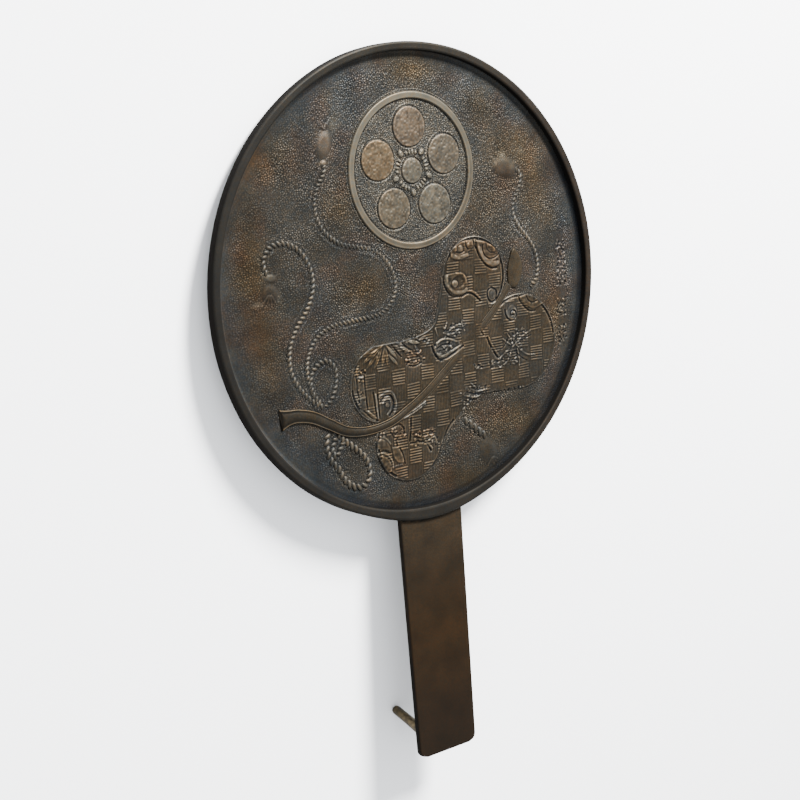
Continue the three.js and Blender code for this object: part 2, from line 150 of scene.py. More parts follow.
TASSELS = [  # centre, half length, half width, turn, rise: worn bulbs and knots
    (-42.6, 64.2, 7.6, 4.6, 66, 0.7), (-43.4, 56.4, 2.1, 1.4, 12, 0.6), (-74.6, 11.4, 3.4, 2, -8, 0.3),
    (-75.6, 5.2, 4.8, 4.6, 0, 0.35), (56.6, 46.2, 8.8, 5.6, -16, 0.6), (36, -83.2, 8.4, 6, -68, 0.4),
]
GROUND_WASHES = {  # layer: centre, reach across and along, strength
    "bare": [
        (-42.2, 64, 3.8, 6.4, 0.4), (-41, 67.4, 1.5, 2.8, 0.65), (-43.4, 56.4, 2, 1.3, 0.9),
        (-37, 72.4, 2.6, 3, 0.4), (-74.8, 11.6, 3, 1.4, 0.3), (-76.8, 14, 1.5, 1, 0.3),
        (-82.2, 1.2, 2.4, 1, 0.4), (-71.4, 3.6, 1.2, 3, 0.3), (56, 48, 6, 3.4, 0.35),
        (55.6, 51.8, 1.8, 1.6, 0.7), (60.4, 46.4, 2.4, 1.6, 0.5), (66.4, 52.8, 2, 1.4, 0.3),
    ],
    "ochre": [
        (34, -83, 4, 6.4, 0.8),
    ],
    "steel": [
        # The long blue-grey wash just inside the left rim, at (-97, 14), is a painted reflection.
        (88, -14, 4, 24, 0.95), (-97, 14, 5, 46, 0.8),
    ],
}
FRINGES = [  # root, long, first and last direction, count
    (-41.6, 69.6, 5.2, 55, 125, 6), (-75.8, 5.4, 7, 230, 300, 4), (52.4, 47.4, 5.6, 130, 205, 6),
    (38, -86, 5, 235, 325, 5),
]

# Carving on the war fan. Patches: outline, rise, layer. Strokes: width, rise, layer, lines; a
# negative rise is a groove. Outlines, lines and routes give X and Y by turns.
FAN_PATCHES = [
    ([20.6, 11.6, 21.2, 8.4, 24.6, 7.1, 28, 7.3, 31.3, 8.1, 31.2, 9.6, 33.2, 11, 35.2, 12.4, 34.6, 15,
     29, 15.7, 23.6, 14], 0.32, "rose"),
    ([36.6, 14.6, 37, 10, 38.8, 6, 41.5, 3.1, 45, 1.6, 48.4, 1.8, 50, 4, 49.4, 8, 46, 11.6, 41, 14.3],
     0.32, "rose"),
    ([17, 0.4, 17.1, -3, 19, -6.2, 22, -8.3, 26, -8.6, 29.2, -7.4, 30, -3.6, 28, 0.7, 23.4, 2, 19, 1.6],
     0.3, "ochre"),
    ([60.2, -14, 62, -17.4, 65, -19.7, 68, -21, 71.4, -20.6, 74.6, -19, 72.4, -16.2, 68.5, -14, 64,
     -13.2], 0.35, "ochre"),
    ([51.2, -19.6, 52.2, -23, 55.4, -24.4, 58, -22.6, 58, -19.4, 55, -17], 0.25, "steel"),
    ([7.5, -30.5, 10.5, -27.6, 15.5, -26.8, 20.5, -28.2, 24.3, -31.4, 18.5, -34.2, 12.5, -36.2, 9,
     -34.5], 0.2, "steel"),
    ([-28.2, -74.4, -25.6, -73.4, -22.6, -75, -20.4, -78.4, -20.6, -82, -23.6, -82, -26.6, -79.6], 0.32,
     "ochre"),
    ([-28.2, -70.8, -27.6, -67.4, -25.6, -65.8, -22.4, -67.2, -20.6, -70, -20.4, -72.6, -24, -71.4],
     0.32, "ochre"),
    ([-20, -70.6, -16.4, -71.4, -13.8, -75, -13.4, -79, -17, -78.8, -19.4, -75.4], 0.3, "ochre"),
    ([-37, -38, -35.4, -36, -31.6, -36.4, -31.4, -45, -31.6, -52.6, -35, -50.4, -35.8, -45], 0.12, None),
]
FAN_STROKES = [
    (1.9, 0.22, "bare", [[22, 9.6, 24.6, 8.3, 28, 8.4, 31, 8.8]]),
    (0.8, -0.3, None, [
        [24.4, 10.9, 26.5, 10.1, 28.8, 10.9], [64.4, -14.4, 65.6, -16.6, 68, -17.8, 71, -17.3],
        [35.6, -26, 37.2, -29], [-33.2, -52.2, -28.8, -56.6]]),
    (0.7, -0.28, None, [[30.2, 15, 30.2, 12.8, 31.4, 11.2]]),
    (1, -0.4, None, [[34.9, 15, 35, 13, 36.2, 11.4]]),
    (0.9, -0.45, None, [
        [36.2, 14.6, 36.2, 12, 37.2, 9, 39, 5.8, 41.5, 2.9, 44.5, 1.2, 47.6, 1],
        [15.9, 0.6, 16.2, -2.5, 17.5, -5.7, 20.2, -8.6, 23.6, -9, 26.3, -9.5, 28.4, -8.7, 31, -8.7,
         33.5, -10, 36.8, -13]]),
    (2.2, 0.22, "bare", [[38, 11, 39.4, 7.2, 42, 4.7, 45, 3.4, 48.4, 3.2]]),
    (0.75, -0.3, None, [[40, 12.4, 39.8, 9.5, 40.8, 7.5, 43, 5.9, 45.5, 5.6, 47.8, 6.3, 49.4, 7.4]]),
    (0.6, -0.22, None, [[42, 13, 42.3, 10.4, 44.2, 8.5, 46.8, 8]]),
    (1.8, 0.22, "bare", [[17.8, 0.6, 17.7, -2.4, 19.2, -5, 21.4, -7, 24, -7.4, 27, -7.6, 29, -6.6]]),
    (1.4, 0.15, None, [[18.4, 0.6, 20.6, 1.3, 24, 1.5, 27.2, 0.6, 28.8, -1.6, 28.8, -4.6]]),
    (1, 0.25, "rose", [[29.4, -7.3, 31.5, -7.7, 34, -9, 36.4, -11.4]]),
    (1, -0.4, "steel", [
        [43.6, -7.6, 46.2, -9.2, 46.6, -11.5, 45.3, -13.8, 43, -14.2, 41.3, -12, 41.4, -9, 43.6, -7.6]]),
    (0.9, 0.2, "steel", [[48.8, -11.2, 47, -13.8, 44, -15.2, 41.6, -15]]),
    (0.8, -0.4, "steel", [
        [51, -19, 51.2, -21.5, 52.8, -23.8, 55.4, -24.5, 57.4, -22.9, 57.3, -20.8, 55.6, -19.8, 54,
         -20.8, 54.3, -22, 55.6, -22]]),
    (0.9, -0.4, None, [[59.8, -13.6, 60.6, -16.4, 63, -19.2, 66, -21.5, 69.4, -21.9]]),
    (1, -0.5, None, [[39.3, -30.4, 40.4, -33.4, 42.4, -37, 44.8, -40.5]]),
    (0.6, 0.16, "ochre", [[40.4, -30.6, 41.6, -33.4, 43.6, -36.8, 46, -40]]),
    (0.9, 0.3, "steel", [
        [54, -37, 57.5, -34.8, 61.4, -32.2, 65.4, -31],
        [56.5, -36.6, 59.5, -39.5, 63, -41.8, 67.4, -42.6], [27, -52.4, 31.5, -54.3, 35.4, -54],
        [23.4, -55, 29, -56.5, 35, -56.6, 39.6, -57.8], [24.4, -59.4, 30, -58.6, 36, -59.6],
        [27.4, -49.6, 30.4, -52.4], [14, -24.6, 18, -26, 23, -24, 26.6, -22.6]]),
    (0.7, 0.25, "steel", [[57, -38.4, 57.8, -43, 57.4, -46.6], [55, -34, 55.6, -30.6]]),
    (0.8, 0.25, "steel", [[53, -36, 48.5, -32.4], [52, -37.6, 46, -41], [53, -39, 50, -43.4, 45.6, -45.4]]),
    (0.7, 0.3, "steel", [[53.6, -34, 51.4, -30.4]]),
    (0.7, -0.25, "steel", [
        [54.6, -38.6, 58.6, -42.2, 62.4, -44.6], [51.4, -33, 49, -36, 45, -38],
        [58, -35.6, 62, -34, 66, -33]]),
    (0.8, -0.3, "steel", [[25, -53.6, 31, -55.5, 38, -56.4], [24, -57.6, 31, -57.7, 38, -59]]),
    (1.1, -0.5, "steel", [[6.8, -29.4, 8, -33, 10.8, -36.4, 13.6, -36.3, 19, -34.6, 24.8, -32]]),
    (0.9, -0.35, "steel", [[10, -30.8, 13.5, -29.7, 17.8, -30.3]]),
    (0.9, 0.25, "bare", [[9.5, -28.6, 13, -27.3, 17, -27.8, 21, -29.4]]),
    (1, 0.3, "bare", [[9.6, -33.4, 12, -34.9, 17, -33.6, 22.8, -31.7]]),
    (0.8, 0.3, "steel", [
        [17.4, -24, 20.5, -22.4, 25.6, -21.8], [14.8, -23, 16.2, -20], [10.6, -25.4, 9.4, -22]]),
    (0.9, -0.35, None, [
        [-35.8, -36.5, -35.6, -42, -35.2, -48], [-31.6, -37, -31.5, -44, -31.1, -52.4],
        [-8.2, -35.6, -4, -36.8, 0.4, -35.8], [-15.2, -72.4, -13.8, -75.6, -13, -79.6]]),
    (1, 0.25, "bare", [[-35.3, -46.3, -31.9, -46.2]]),
    (1.2, 0.25, "steel", [[-35.5, -37.2, -32, -37.2]]),
    (0.8, -0.35, None, [[-27.4, -45, -27, -50, -26.5, -57], [-25.2, -46.4, -25, -51, -24.8, -57]]),
    (0.9, 0.25, "steel", [[-26.3, -46, -26, -51, -25.8, -57]]),
    (0.8, 0.25, "bare", [[-35, -51.4, -31.4, -55, -27.4, -57.4]]),
    (0.8, 0.3, "bare", [
        [-31.4, -52.4, -26.8, -56.4], [1, -71.6, 4.5, -70.6, 5.6, -73.6], [-0.8, -71.6, 2.8, -75.6]]),
    (1, -0.45, "steel", [
        [-24, -49.6, -21.6, -47.7, -18.3, -47.8, -16.9, -50.5, -17.2, -53.8, -19.4, -56.6]]),
    (0.9, 0.28, "steel", [[-23, -50.6, -21, -49, -19, -49.4, -18.4, -51.4, -18.8, -54, -20.8, -56]]),
    (1, 0.25, "steel", [[-24.8, -47.6, -21, -45.9, -17.4, -46.4, -15.6, -50, -15.9, -54.2, -18, -57.4]]),
    (0.8, -0.4, None, [[-15.6, -25.4, -13.6, -28, -10.6, -31.6], [-9.6, -25.9, -7, -28, -4, -30]]),
    (0.7, 0.25, "bare", [
        [-28, -73.1, -25, -72.7, -22, -74.3, -20, -77.4, -19.8, -80.4],
        [-25.4, -65.4, -22.2, -66.8, -20.2, -69.4]]),
    (0.7, -0.3, None, [[-28, -72, -24, -71.9, -20.6, -73.6]]),
    (1.1, -0.45, None, [[-17.6, -61.9, -14.6, -61.5, -12.4, -63.4, -12.2, -66]]),
    (1, -0.35, None, [[-19.8, -64.4, -17.4, -67.6, -16.6, -71]]),
    (1.3, -0.4, None, [[-7.8, -60, -8.3, -64.4, -9.3, -70]]),
    (1.1, -0.4, None, [[-9.2, -71.2, -4, -71.4, 0, -72.6, 2, -76.6]]),
    (0.8, 0.2, "steel", [[-20, -79.9, -14.6, -79.6]]),
    (1.1, -0.35, None, [[16, -65, 12, -69, 8.7, -75, 6.2, -79.8, 2, -84]]),
]
FAN_KNOBS = [  # centre, half length, half width, turn, rise, layer
    (26.8, 12.2, 1.9, 1.6, 0, 0.35, "bare"), (32.4, 13.2, 1.9, 1.7, 20, 0.2, "ochre"),
    (23.6, 12.4, 1.7, 1.5, 0, 0.2, "ochre"), (24.4, -2.6, 4.2, 3.3, 0, -0.5, None),
    (22.4, -3.3, 2.1, 1.9, 0, 0.7, "bare"), (44, -11, 1.7, 2.3, 0, 0.25, "steel"),
    (45.6, 10.6, 2.6, 1.6, -50, 0.2, "ochre"), (56, -21.1, 0.7, 0.7, 0, 0.5, "bare"),
    (-20.3, -51.8, 1.4, 1.2, 0, 0.3, "steel"), (-26.4, -74.8, 1.1, 0.9, 0, -0.3, None),
]
FAN_LEAVES = [  # root, length, width, direction, rise, layer
    (-6.8, -25.2, 7.8, 2.1, -15, 0.55, "bare"), (-11.2, -27.1, 6.4, 1.9, -27, 0.5, "bare"),
    (-18.6, -25.3, 9.8, 2, -50, 0.45, "bare"), (-17.6, -29.7, 7.8, 1.9, -48, 0.45, "bare"),
    (-13.4, -25.2, 5.6, 1.6, -14, 0.35, "steel"), (-20, -24.8, 15, 2.6, 196, 0.3, "ochre"),
    (-21, -25.2, 14, 2.6, 210, 0.3, "ochre"), (-21.4, -25.8, 13, 2.4, 224, 0.3, "ochre"),
    (-21, -26, 11, 2.4, 240, 0.3, "ochre"), (-19.6, -26.4, 9.5, 2.2, 256, 0.3, "ochre"),
    (-19, -26.6, 8.5, 2.2, 274, 0.3, "ochre"), (-3, -27.4, 6, 1.8, -60, 0.3, "steel"),
    (4, -24.2, 6, 1.6, 200, 0.3, "steel"), (6.4, -25.6, 5.6, 1.5, 225, 0.3, "steel"),
]
FAN_CLUSTERS = [  # centre, half spread along X and Y, how many small knobs, layer
    (-3.2, -32.6, 5.2, 2.8, 40, "rose"), (-15.4, -65, 3.4, 2.8, 22, "rose"),
    (-1.4, -68.2, 6.2, 1.8, 26, "rose"), (52.8, -33.6, 2.6, 2.4, 18, "steel"),
    (20, -21.6, 6, 1.2, 16, "steel"), (-7.4, -57.4, 0.1, 0.1, 1, "steel"), (4.2, -73, 2, 2, 8, "steel"),
    (-34, -33.6, 3.4, 2, 14, "ochre"), (44, -43.2, 14, 1.8, 40, "steel"), (57, -35, 6, 6, 36, "steel"),
    (13, -31.6, 5.6, 2.6, 24, "steel"), (29, -54.6, 8, 3, 40, "steel"), (49, -57, 11, 0.9, 22, "steel"),
    (27, -60, 5, 1.4, 12, "steel"), (-5, -25.4, 9, 1.8, 22, "steel"), (20, -25, 6.4, 2, 18, "steel"),
    (-26, -64, 4, 3, 12, "steel"), (-2, -71, 5, 2.4, 16, "ochre"), (-34, -42, 1.6, 6, 14, "ochre"),
]
HEM = [-15.6, -59.6, -10.4, -58.3, -5, -56.7, 0.4, -54.4]
FAN_WASHES = {  # layer: centre, reach across and along, strength
    "steel": [
        (20, -24, 9, 5, 0.9), (57, -37, 9, 8, 0.9), (46, -41, 8, 7, 0.7), (31, -56, 9, 5, 0.9),
        (44, -11, 5, 5, 0.9), (54, -20, 5, 5, 0.9), (13, -31, 9, 6, 0.7), (-20, -51, 6, 6, 0.8),
        (-36, -50, 5, 8, 0.8), (-8, -27, 8, 4, 0.6), (-24, -66, 5, 5, 0.4), (5, -74, 5, 6, 0.7),
        (14, -8, 4, 12, 0.7), (70, -47, 9, 8, 0.6), (36, -42, 5, 4, 0.6),
    ],
    "rose": [
        (-14, -83, 12, 5, 0.9), (26, 9, 7, 6, 0.7), (44, 5, 7, 6, 0.7), (23, -6, 7, 4, 0.7),
        (-4, -33, 6, 4, 0.8), (-15, -65, 5, 4, 0.8), (36, -25, 5, 4, 0.5),
    ],
    "ochre": [
        (72, -34, 8, 9, 0.9), (49, -49, 12, 7, 1), (-22, -40, 8, 6, 0.8), (-30, -30, 10, 6, 0.9),
        (33, -2, 10, 10, 0.7), (-24, -78, 5, 6, 0.8), (10, -62, 9, 6, 0.5),
    ],
}
DARK_EDGES = [  # lobe, arc from and to in degrees
    (0, -45, 150), (3, 3, 120), (2, 150, 242), (1, 183, 258),
]

STROKE_GROUPS = [(9.5, -12.7, 6), (-18.5, -28.1, 3), (-31, -39.6, 2)]
STROKE_COLUMN = 87.9
STROKE_LEAN = 0.045
STROKE_ROWS, STROKE_COLUMNS = (-1.4, -0.5, 0.5, 1.4), (-2.2, -0.8, 0.8, 2.2)
STROKE_TURNS, STROKE_RISES = [0, 0, 90, 90, 60, 125], [-0.35, -0.25, 0.25, 0.3]

ROD_ROOT = (-13.5, -207.1)
ROD_LENGTH = 21.9
ROD_RADIUS = 2.15
ROD_FOOT_RADIUS = 2.7
ROD_LEAN = 15.1
ROD_GAP = 0.3
ROD_SIDES = 48

WARM_PATCHES = [  # centre, reach across and along, strength
    (-84, 22, 10, 26, 1), (-70, 62, 16, 14, 0.6), (-40, 38, 9, 12, 0.5), (6, 93, 16, 6, 0.9),
    (-28, 2, 14, 9, 0.8), (45, 74, 10, 8, 0.7), (76, 42, 9, 18, 0.7), (18, -93, 30, 7, 0.8),
    (-80, -20, 9, 22, 0.8), (50, -72, 24, 10, 0.8), (40, 30, 14, 12, 0.5), (-30, -34, 12, 12, 0.5),
    (-20, -96, 16, 6, 0.5), (56, 56, 14, 8, 0.5), (84, -30, 8, 20, 0.5),
]

BOSS_TINTS = [  # the heart, then the petals anticlockwise from the top
    {"steel": 0.25}, {"rose": 0.8}, {"umber": 0.35}, {"umber": 0.12}, {"steel": 0.35}, {"rose": 0.35},
]

# The soot layer also carries painted shade on the rim's walls and rim top.
LAYERS = ("proud", "ochre", "steel", "rose", "umber", "soot_and_painted_shade", "bare")

# ---- The casting's plane in the frame ----

POLISHED = next(m for m in frame["record"]["mounts"] if m["name"] == "polished_face")
PLACE = np.array(POLISHED["pos_m"], float)
NORMAL = -Vector(POLISHED["axis"])
TURN = np.array(Vector((0, 0, 1)).rotation_difference(NORMAL).to_matrix())


def to_world(points):
    return np.asarray(points, float) @ TURN.T * MM + PLACE


def turned(ways):
    return np.asarray(ways, float) @ TURN.T


def from_world(points):
    return (np.asarray(points, float) - PLACE) / MM @ TURN


# ---- Noise and profiles ----

def smooth(low, high, value):
    t = np.clip((value - low) / (high - low), 0, 1)
    return t * t * (3 - 2 * t)


def crease(distance, half):
    """1 on a line and 0 beyond half its width."""
    return 1 - smooth(0, half, np.abs(distance))


def noise(x, y, cell, seed):
    """Smooth noise from -1 to 1 with the given cell size."""
    size = 64
    table = np.random.default_rng(seed).random((size, size))
    u, v = x / cell, y / cell
    i, j = np.floor(u).astype(int), np.floor(v).astype(int)
    s, t = smooth(0, 1, u - i), smooth(0, 1, v - j)

    def row(b):
        return table[i % size, b % size] * (1 - s) + table[(i + 1) % size, b % size] * s

    return 2 * (row(j) * (1 - t) + row(j + 1) * t) - 1


def layered_noise(x, y, cell, seed, octaves=3):
    total = sum(noise(x, y, cell / 2 ** k, seed + k) / 2 ** k for k in range(octaves))
    return total / (2 - 2 ** (1 - octaves))


def grains(x, y, pitch, seed):
    """0 in the furrows between grains and 1 on their backs."""
    size = 256
    spots = 0.4 * (2 * np.random.default_rng(seed).random((2, size, size)) - 1)
    u = x / pitch[0] + 0.55 * noise(x, y, 5.5, seed + 1)
    v = y / pitch[1] + 0.55 * noise(x, y, 5.5, seed + 2)
    i, j = np.floor(u).astype(int), np.floor(v).astype(int)
    first = np.full(u.shape, 9.0)
    second = first.copy()
    for di, dj in product((-1, 0, 1), repeat=2):
        a, b = (i + di) % size, (j + dj) % size
        away = np.hypot(i + di + 0.5 + spots[0, a, b] - u, j + dj + 0.5 + spots[1, a, b] - v)
        second = np.minimum(second, np.maximum(first, away))
        first = np.minimum(first, away)
    return smooth(0, 0.5, second - first)


def spline(points, step):
    """A Catmull-Rom curve through the points, sampled about every step."""
    p = np.array(points, float)
    p = np.vstack([2 * p[0] - p[1], p, 2 * p[-1] - p[-2]])
    out = []
    for k in range(1, len(p) - 2):
        a, b, c, d = p[k - 1:k + 3]
        count = max(2, int(np.linalg.norm((c - b)[:2]) / step))
        for t in np.arange(count) / count:
            out.append(0.5 * (2 * b + (c - a) * t + (2 * a - 5 * b + 4 * c - d) * t * t
                              + (3 * b - a - 3 * c + d) * t ** 3))
    out.append(p[-2])
    return np.array(out)


def even(points, step):
    """The same line with its points the same distance apart."""
    run = np.r_[0, np.cumsum(np.linalg.norm(np.diff(points[:, :2], axis=0), axis=1))]
    at = np.linspace(0, run[-1], max(2, int(run[-1] / step) + 1))
    return np.stack([np.interp(at, run, column) for column in points.T], 1), at


def line_distance(x, y, points):
    """Distance to a line of points, with the length along it at the nearest place."""
    best = np.full(x.shape, 1e9)
    along = np.zeros(x.shape)
    run = 0.0
    for (ax, ay), (bx, by) in zip(points[:-1], points[1:]):
        dx, dy = bx - ax, by - ay
        length = math.hypot(dx, dy)
        if length < 1e-9:
            continue
        t = np.clip(((x - ax) * dx + (y - ay) * dy) / length ** 2, 0, 1)
        away = np.hypot(x - ax - t * dx, y - ay - t * dy)
        near = away < best
        best[near] = away[near]
        along[near] = run + t[near] * length
        run += length
    return best, along


def inside_polygon(x, y, points):
    crossed = np.zeros(x.shape, bool)
    for (ax, ay), (bx, by) in zip(points, np.roll(points, -1, axis=0)):
        if ay != by:
            between = (ay > y) != (by > y)
            crossed ^= between & (x < (bx - ax) * (y - ay) / (by - ay) + ax)
    return crossed


def path(flat):
    """Points from a flat list of X and Y."""
    return np.reshape(flat, (-1, 2)).astype(float)


def polar(radius, degrees):
    return radius * math.cos(degrees * DEG), radius * math.sin(degrees * DEG)


def directions(line):
    """Unit steps along a flat line, and to its left."""
    way = np.gradient(line, axis=0)
    way /= np.linalg.norm(way, axis=1, keepdims=True)
    return way, np.stack([-way[:, 1], way[:, 0]], 1)


def whole_cells(bad):
    """The grid cells none of whose corners is bad."""
    return ~(bad[:-1, :-1] | bad[:-1, 1:] | bad[1:, 1:] | bad[1:, :-1])


def blank_layers(shape):
    return {name: np.zeros(shape) for name in LAYERS}


# ---- Sheets of heights ----

class Sheet:
    """Heights over a square grid, with colour layers from 0 to 1."""

    def __init__(self, low, high, step):
        self.step = step
        self.xs = low[0] + step * np.arange(int((high[0] - low[0]) / step) + 1)
        self.ys = low[1] + step * np.arange(int((high[1] - low[1]) / step) + 1)
        self.x, self.y = np.meshgrid(self.xs, self.ys)
        self.z = np.zeros(self.x.shape)
        self.layers = blank_layers(self.x.shape)

    def window(self, points, reach):
        (left, bottom), (right, top) = np.min(points, 0) - reach, np.max(points, 0) + reach
        rows = slice(*np.searchsorted(self.ys, (bottom, top)))
        return rows, slice(*np.searchsorted(self.xs, (left, right)))

    def around(self, x, y, reach, degrees):
        """A window round a place, with the distances along and across a direction."""
        w = self.window([(x, y)], reach)
        c, s = math.cos(degrees * DEG), math.sin(degrees * DEG)
        dx, dy = self.x[w] - x, self.y[w] - y
        return w, dx * c + dy * s, dy * c - dx * s

    def tint(self, layer, amount, where=np.s_[:, :]):
        if layer:
            self.layers[layer][where] = np.maximum(self.layers[layer][where], amount)

    def level(self, share, height, where=np.s_[:, :]):
        """Draws the heights towards another by a share from 0 to 1."""
        self.z[where] = self.z[where] * (1 - share) + share * height

    def ridge(self, points, width, height, tint=None):
        """A round-backed line; a negative height cuts a groove."""
        w = self.window(points, width)
        away, _ = line_distance(self.x[w], self.y[w], points)
        shape = np.sqrt(np.clip(1 - (2 * away / width) ** 2, 0, 1))
        self.z[w] += height * shape
        self.tint(tint, shape, w)

    def leaf(self, x, y, long, wide, degrees, height, tint=None):
        w, u, v = self.around(x, y, long + wide, degrees)
        u /= long
        half = wide / 2 * np.sin(math.pi * np.clip(0.1 + 0.9 * u, 0, 1)) * (u > -0.11)
        shape = smooth(0, 0.55, half - np.abs(v)) * (u < 1)
        self.z[w] += height * shape * (1 - 0.45 * crease(v, 0.28))
        self.tint(tint, shape, w)

    def knob(self, x, y, long, wide, turn, height, tint=None, edge=0.35):
        """A low oval boss."""
        w, u, v = self.around(x, y, max(long, wide) + 1, turn)
        r = np.hypot(u / long, v / wide)
        shape = smooth(0, edge, 1 - r) * (0.75 + 0.25 * np.clip(1 - r * r, 0, 1))
        self.z[w] += height * shape
        self.tint(tint, shape, w)

    def patch(self, outline, rise, tint=None, soft=0.7):
        """Lifts the place inside an outline and smooths away what was carved there."""
        loop = spline(path(outline + outline[:2]), 0.6)
        w = self.window(loop, 1)
        away, _ = line_distance(self.x[w], self.y[w], loop)
        shape = smooth(0, soft, away) * inside_polygon(self.x[w], self.y[w], loop[:-1])
        self.level(shape, FAN_LEVEL + rise, w)
        self.tint(tint, 0.8 * shape, w)

    def wash(self, stains):
        """Soft stains, as a table from layer to places."""
        for layer, places in stains.items():
            for x, y, across, along, strength in places:
                w = self.window([(x, y)], 2.2 * max(across, along))
                dx, dy = (self.x[w] - x) / across, (self.y[w] - y) / along
                ragged = 1 + 0.5 * layered_noise(self.x[w], self.y[w], 4, 141)
                self.tint(layer, np.clip(strength * ragged * np.exp(-dx * dx - dy * dy), 0, 1), w)

    def blur(self, reach):
        """The heights averaged over a square of the given reach."""
        k = max(1, int(round(reach / self.step)))
        out = self.z
        for _ in range(2):
            total = np.cumsum(np.pad(out, ((k + 1, k), (0, 0)), mode="edge"), axis=0)
            out = ((total[2 * k + 1:] - total[:-2 * k - 1]) / (2 * k + 1)).T
        return out

    def find_proud(self, reach=1.1, full=0.16):
        """Fills the layer that says how far each place stands out from what is round it."""
        lift = self.z - self.blur(reach)
        self.layers["proud"] = np.clip(0.5 + 0.5 * lift / full, 0, 1)

    def normals(self):
        dy, dx = np.gradient(self.z, self.step)
        n = np.stack([-dx, -dy, np.ones_like(dx)], -1)
        return n / np.linalg.norm(n, axis=-1, keepdims=True)


def new_object(name, mesh):
    thing = bpy.data.objects.new(name, mesh)
    bpy.context.scene.collection.objects.link(thing)
    return thing


def add_layers(mesh, layers):
    for name, values in layers.items():
        layer = mesh.attributes.new(name, "FLOAT", "POINT")
        layer.data.foreach_set("value", np.asarray(values, np.float32).ravel())


def close(mesh):
    """Fills what is open and turns every face outwards."""
    bm = bmesh.new()
    bm.from_mesh(mesh)
    open_edges = [e for e in bm.edges if e.is_boundary]
    if open_edges:
        bmesh.ops.triangle_fill(bm, edges=open_edges, use_beauty=False, use_dissolve=False)
    bmesh.ops.recalc_face_normals(bm, faces=bm.faces)
    if bm.calc_volume(signed=True) < 0:
        bmesh.ops.reverse_faces(bm, faces=bm.faces)
    bm.to_mesh(mesh)
    bm.free()


def slab(name, sheet, keep):
    """The kept cells of a sheet as one closed slab that reaches down into the casting."""
    rows, columns = sheet.z.shape
    number = np.arange(rows * columns).reshape(rows, columns)
    corners = np.stack([number[:-1, :-1], number[:-1, 1:], number[1:, 1:], number[1:, :-1]], -1)[keep]
    used, quads = np.unique(corners, return_inverse=True)
    quads = quads.reshape(-1, 4)
    points = np.stack([sheet.x, sheet.y, sheet.z], -1).reshape(-1, 3)[used]
    normal = sheet.normals().reshape(-1, 3)[used]

    edges = np.stack([quads, np.roll(quads, -1, axis=1)], -1).reshape(-1, 2)
    key = edges[:, 0].astype(np.int64) * len(used) + edges[:, 1]
    back = edges[:, 1].astype(np.int64) * len(used) + edges[:, 0]
    border = edges[~np.isin(key, back)]
    rim, place = np.unique(border, return_inverse=True)
    place = place.reshape(-1, 2) + len(used)
    low = points[rim] * (1, 1, 0) + (0, 0, SLAB_BOTTOM)
    faces = np.vstack([quads, np.hstack([border[:, ::-1], place])])
    mesh = bpy.data.meshes.new(name)
    mesh.vertices.add(len(points) + len(low))
    mesh.vertices.foreach_set("co", to_world(np.vstack([points, low])).astype(np.float32).ravel())
    mesh.loops.add(faces.size)
    mesh.loops.foreach_set("vertex_index", faces.astype(np.int32).ravel())
    mesh.polygons.add(len(faces))
    mesh.polygons.foreach_set("loop_start", np.arange(0, faces.size, 4, dtype=np.int32))
    mesh.update(calc_edges=True)
    close(mesh)
    mesh.polygons.foreach_set("use_smooth", np.ones(len(mesh.polygons), bool))
    low_normal = np.tile([0.0, 0.0, -1.0], (len(low), 1))
    mesh.normals_split_custom_set_from_vertices(turned(np.vstack([normal, low_normal])).tolist())
    flat = np.zeros(len(low))
    add_layers(mesh, {k: np.r_[v.ravel()[used], flat] for k, v in sheet.layers.items()})
    return new_object(name, mesh)


# ---- The fan's outline ----

def fan_outline():
    points = []
    for x, y, r, start, end, waist in LOBES:
        steps = int((end - start) / 5)
        for k in range(steps + 1):
            dx, dy = polar(r, start + (end - start) * k / steps)
            points.append((x + dx, y + dy))
        points.extend(path(waist))
    return spline(np.array(points + points[:1], float), 0.8)[:-1]


FAN = fan_outline()


def fan_depth(x, y):
    """How far inside the fan's outline a place is, negative outside."""
    away, _ = line_distance(x, y, np.vstack([FAN, FAN[:1]]))
    return np.where(inside_polygon(x, y, FAN), away, -away)


# ---- Ground ----

def tassels(sheet):
    for x, y, long, wide, turn, rise in TASSELS:
        w, u, v = sheet.around(x, y, long + 1, turn)
        plain = 0.85 * smooth(1.05, 0.7, np.hypot(u / long, v / wide))
        sheet.z[w] += plain * (GROUND_LEVEL - sheet.z[w])
        sheet.knob(x, y, long, wide, turn, rise, None, 0.6)
    for x, y, long, start, end, count in FRINGES:
        for k in range(count):
            degrees = start + (end - start) * k / (count - 1)
            far = long * (0.8 + 0.2 * math.cos(2.7 * k))
            thread = [np.add((x, y), polar(reach, degrees)) for reach in (0.25 * far, far)]
            sheet.ridge(thread, 0.9, 0.16)


def column_of_strokes(sheet):
    """Rows of short shallow dabs that spell nothing."""
    random = np.random.default_rng(5)
    for top, bottom, count in STROKE_GROUPS:
        w = sheet.window([(STROKE_COLUMN, top), (STROKE_COLUMN, bottom)], 4)
        plain = 0.65 * smooth(4, 2.5, np.abs(sheet.x[w] - STROKE_COLUMN + 1))
        sheet.z[w] += plain * (GROUND_LEVEL - sheet.z[w])
        for k in range(count):
            y = top + (bottom - top) * (k + 0.5) / count
            for row, column in product(STROKE_ROWS, STROKE_COLUMNS):
                px = STROKE_COLUMN + STROKE_LEAN * y + column + random.uniform(-0.6, 0.6)
                py = y + row + random.uniform(-0.4, 0.4)
                if random.random() < 0.7:
                    turn = random.choice(STROKE_TURNS) + random.uniform(-15, 15)
                    long, rise = random.uniform(0.6, 1.3), random.choice(STROKE_RISES)
                    sheet.knob(px, py, long, 0.5, turn, rise, "steel")


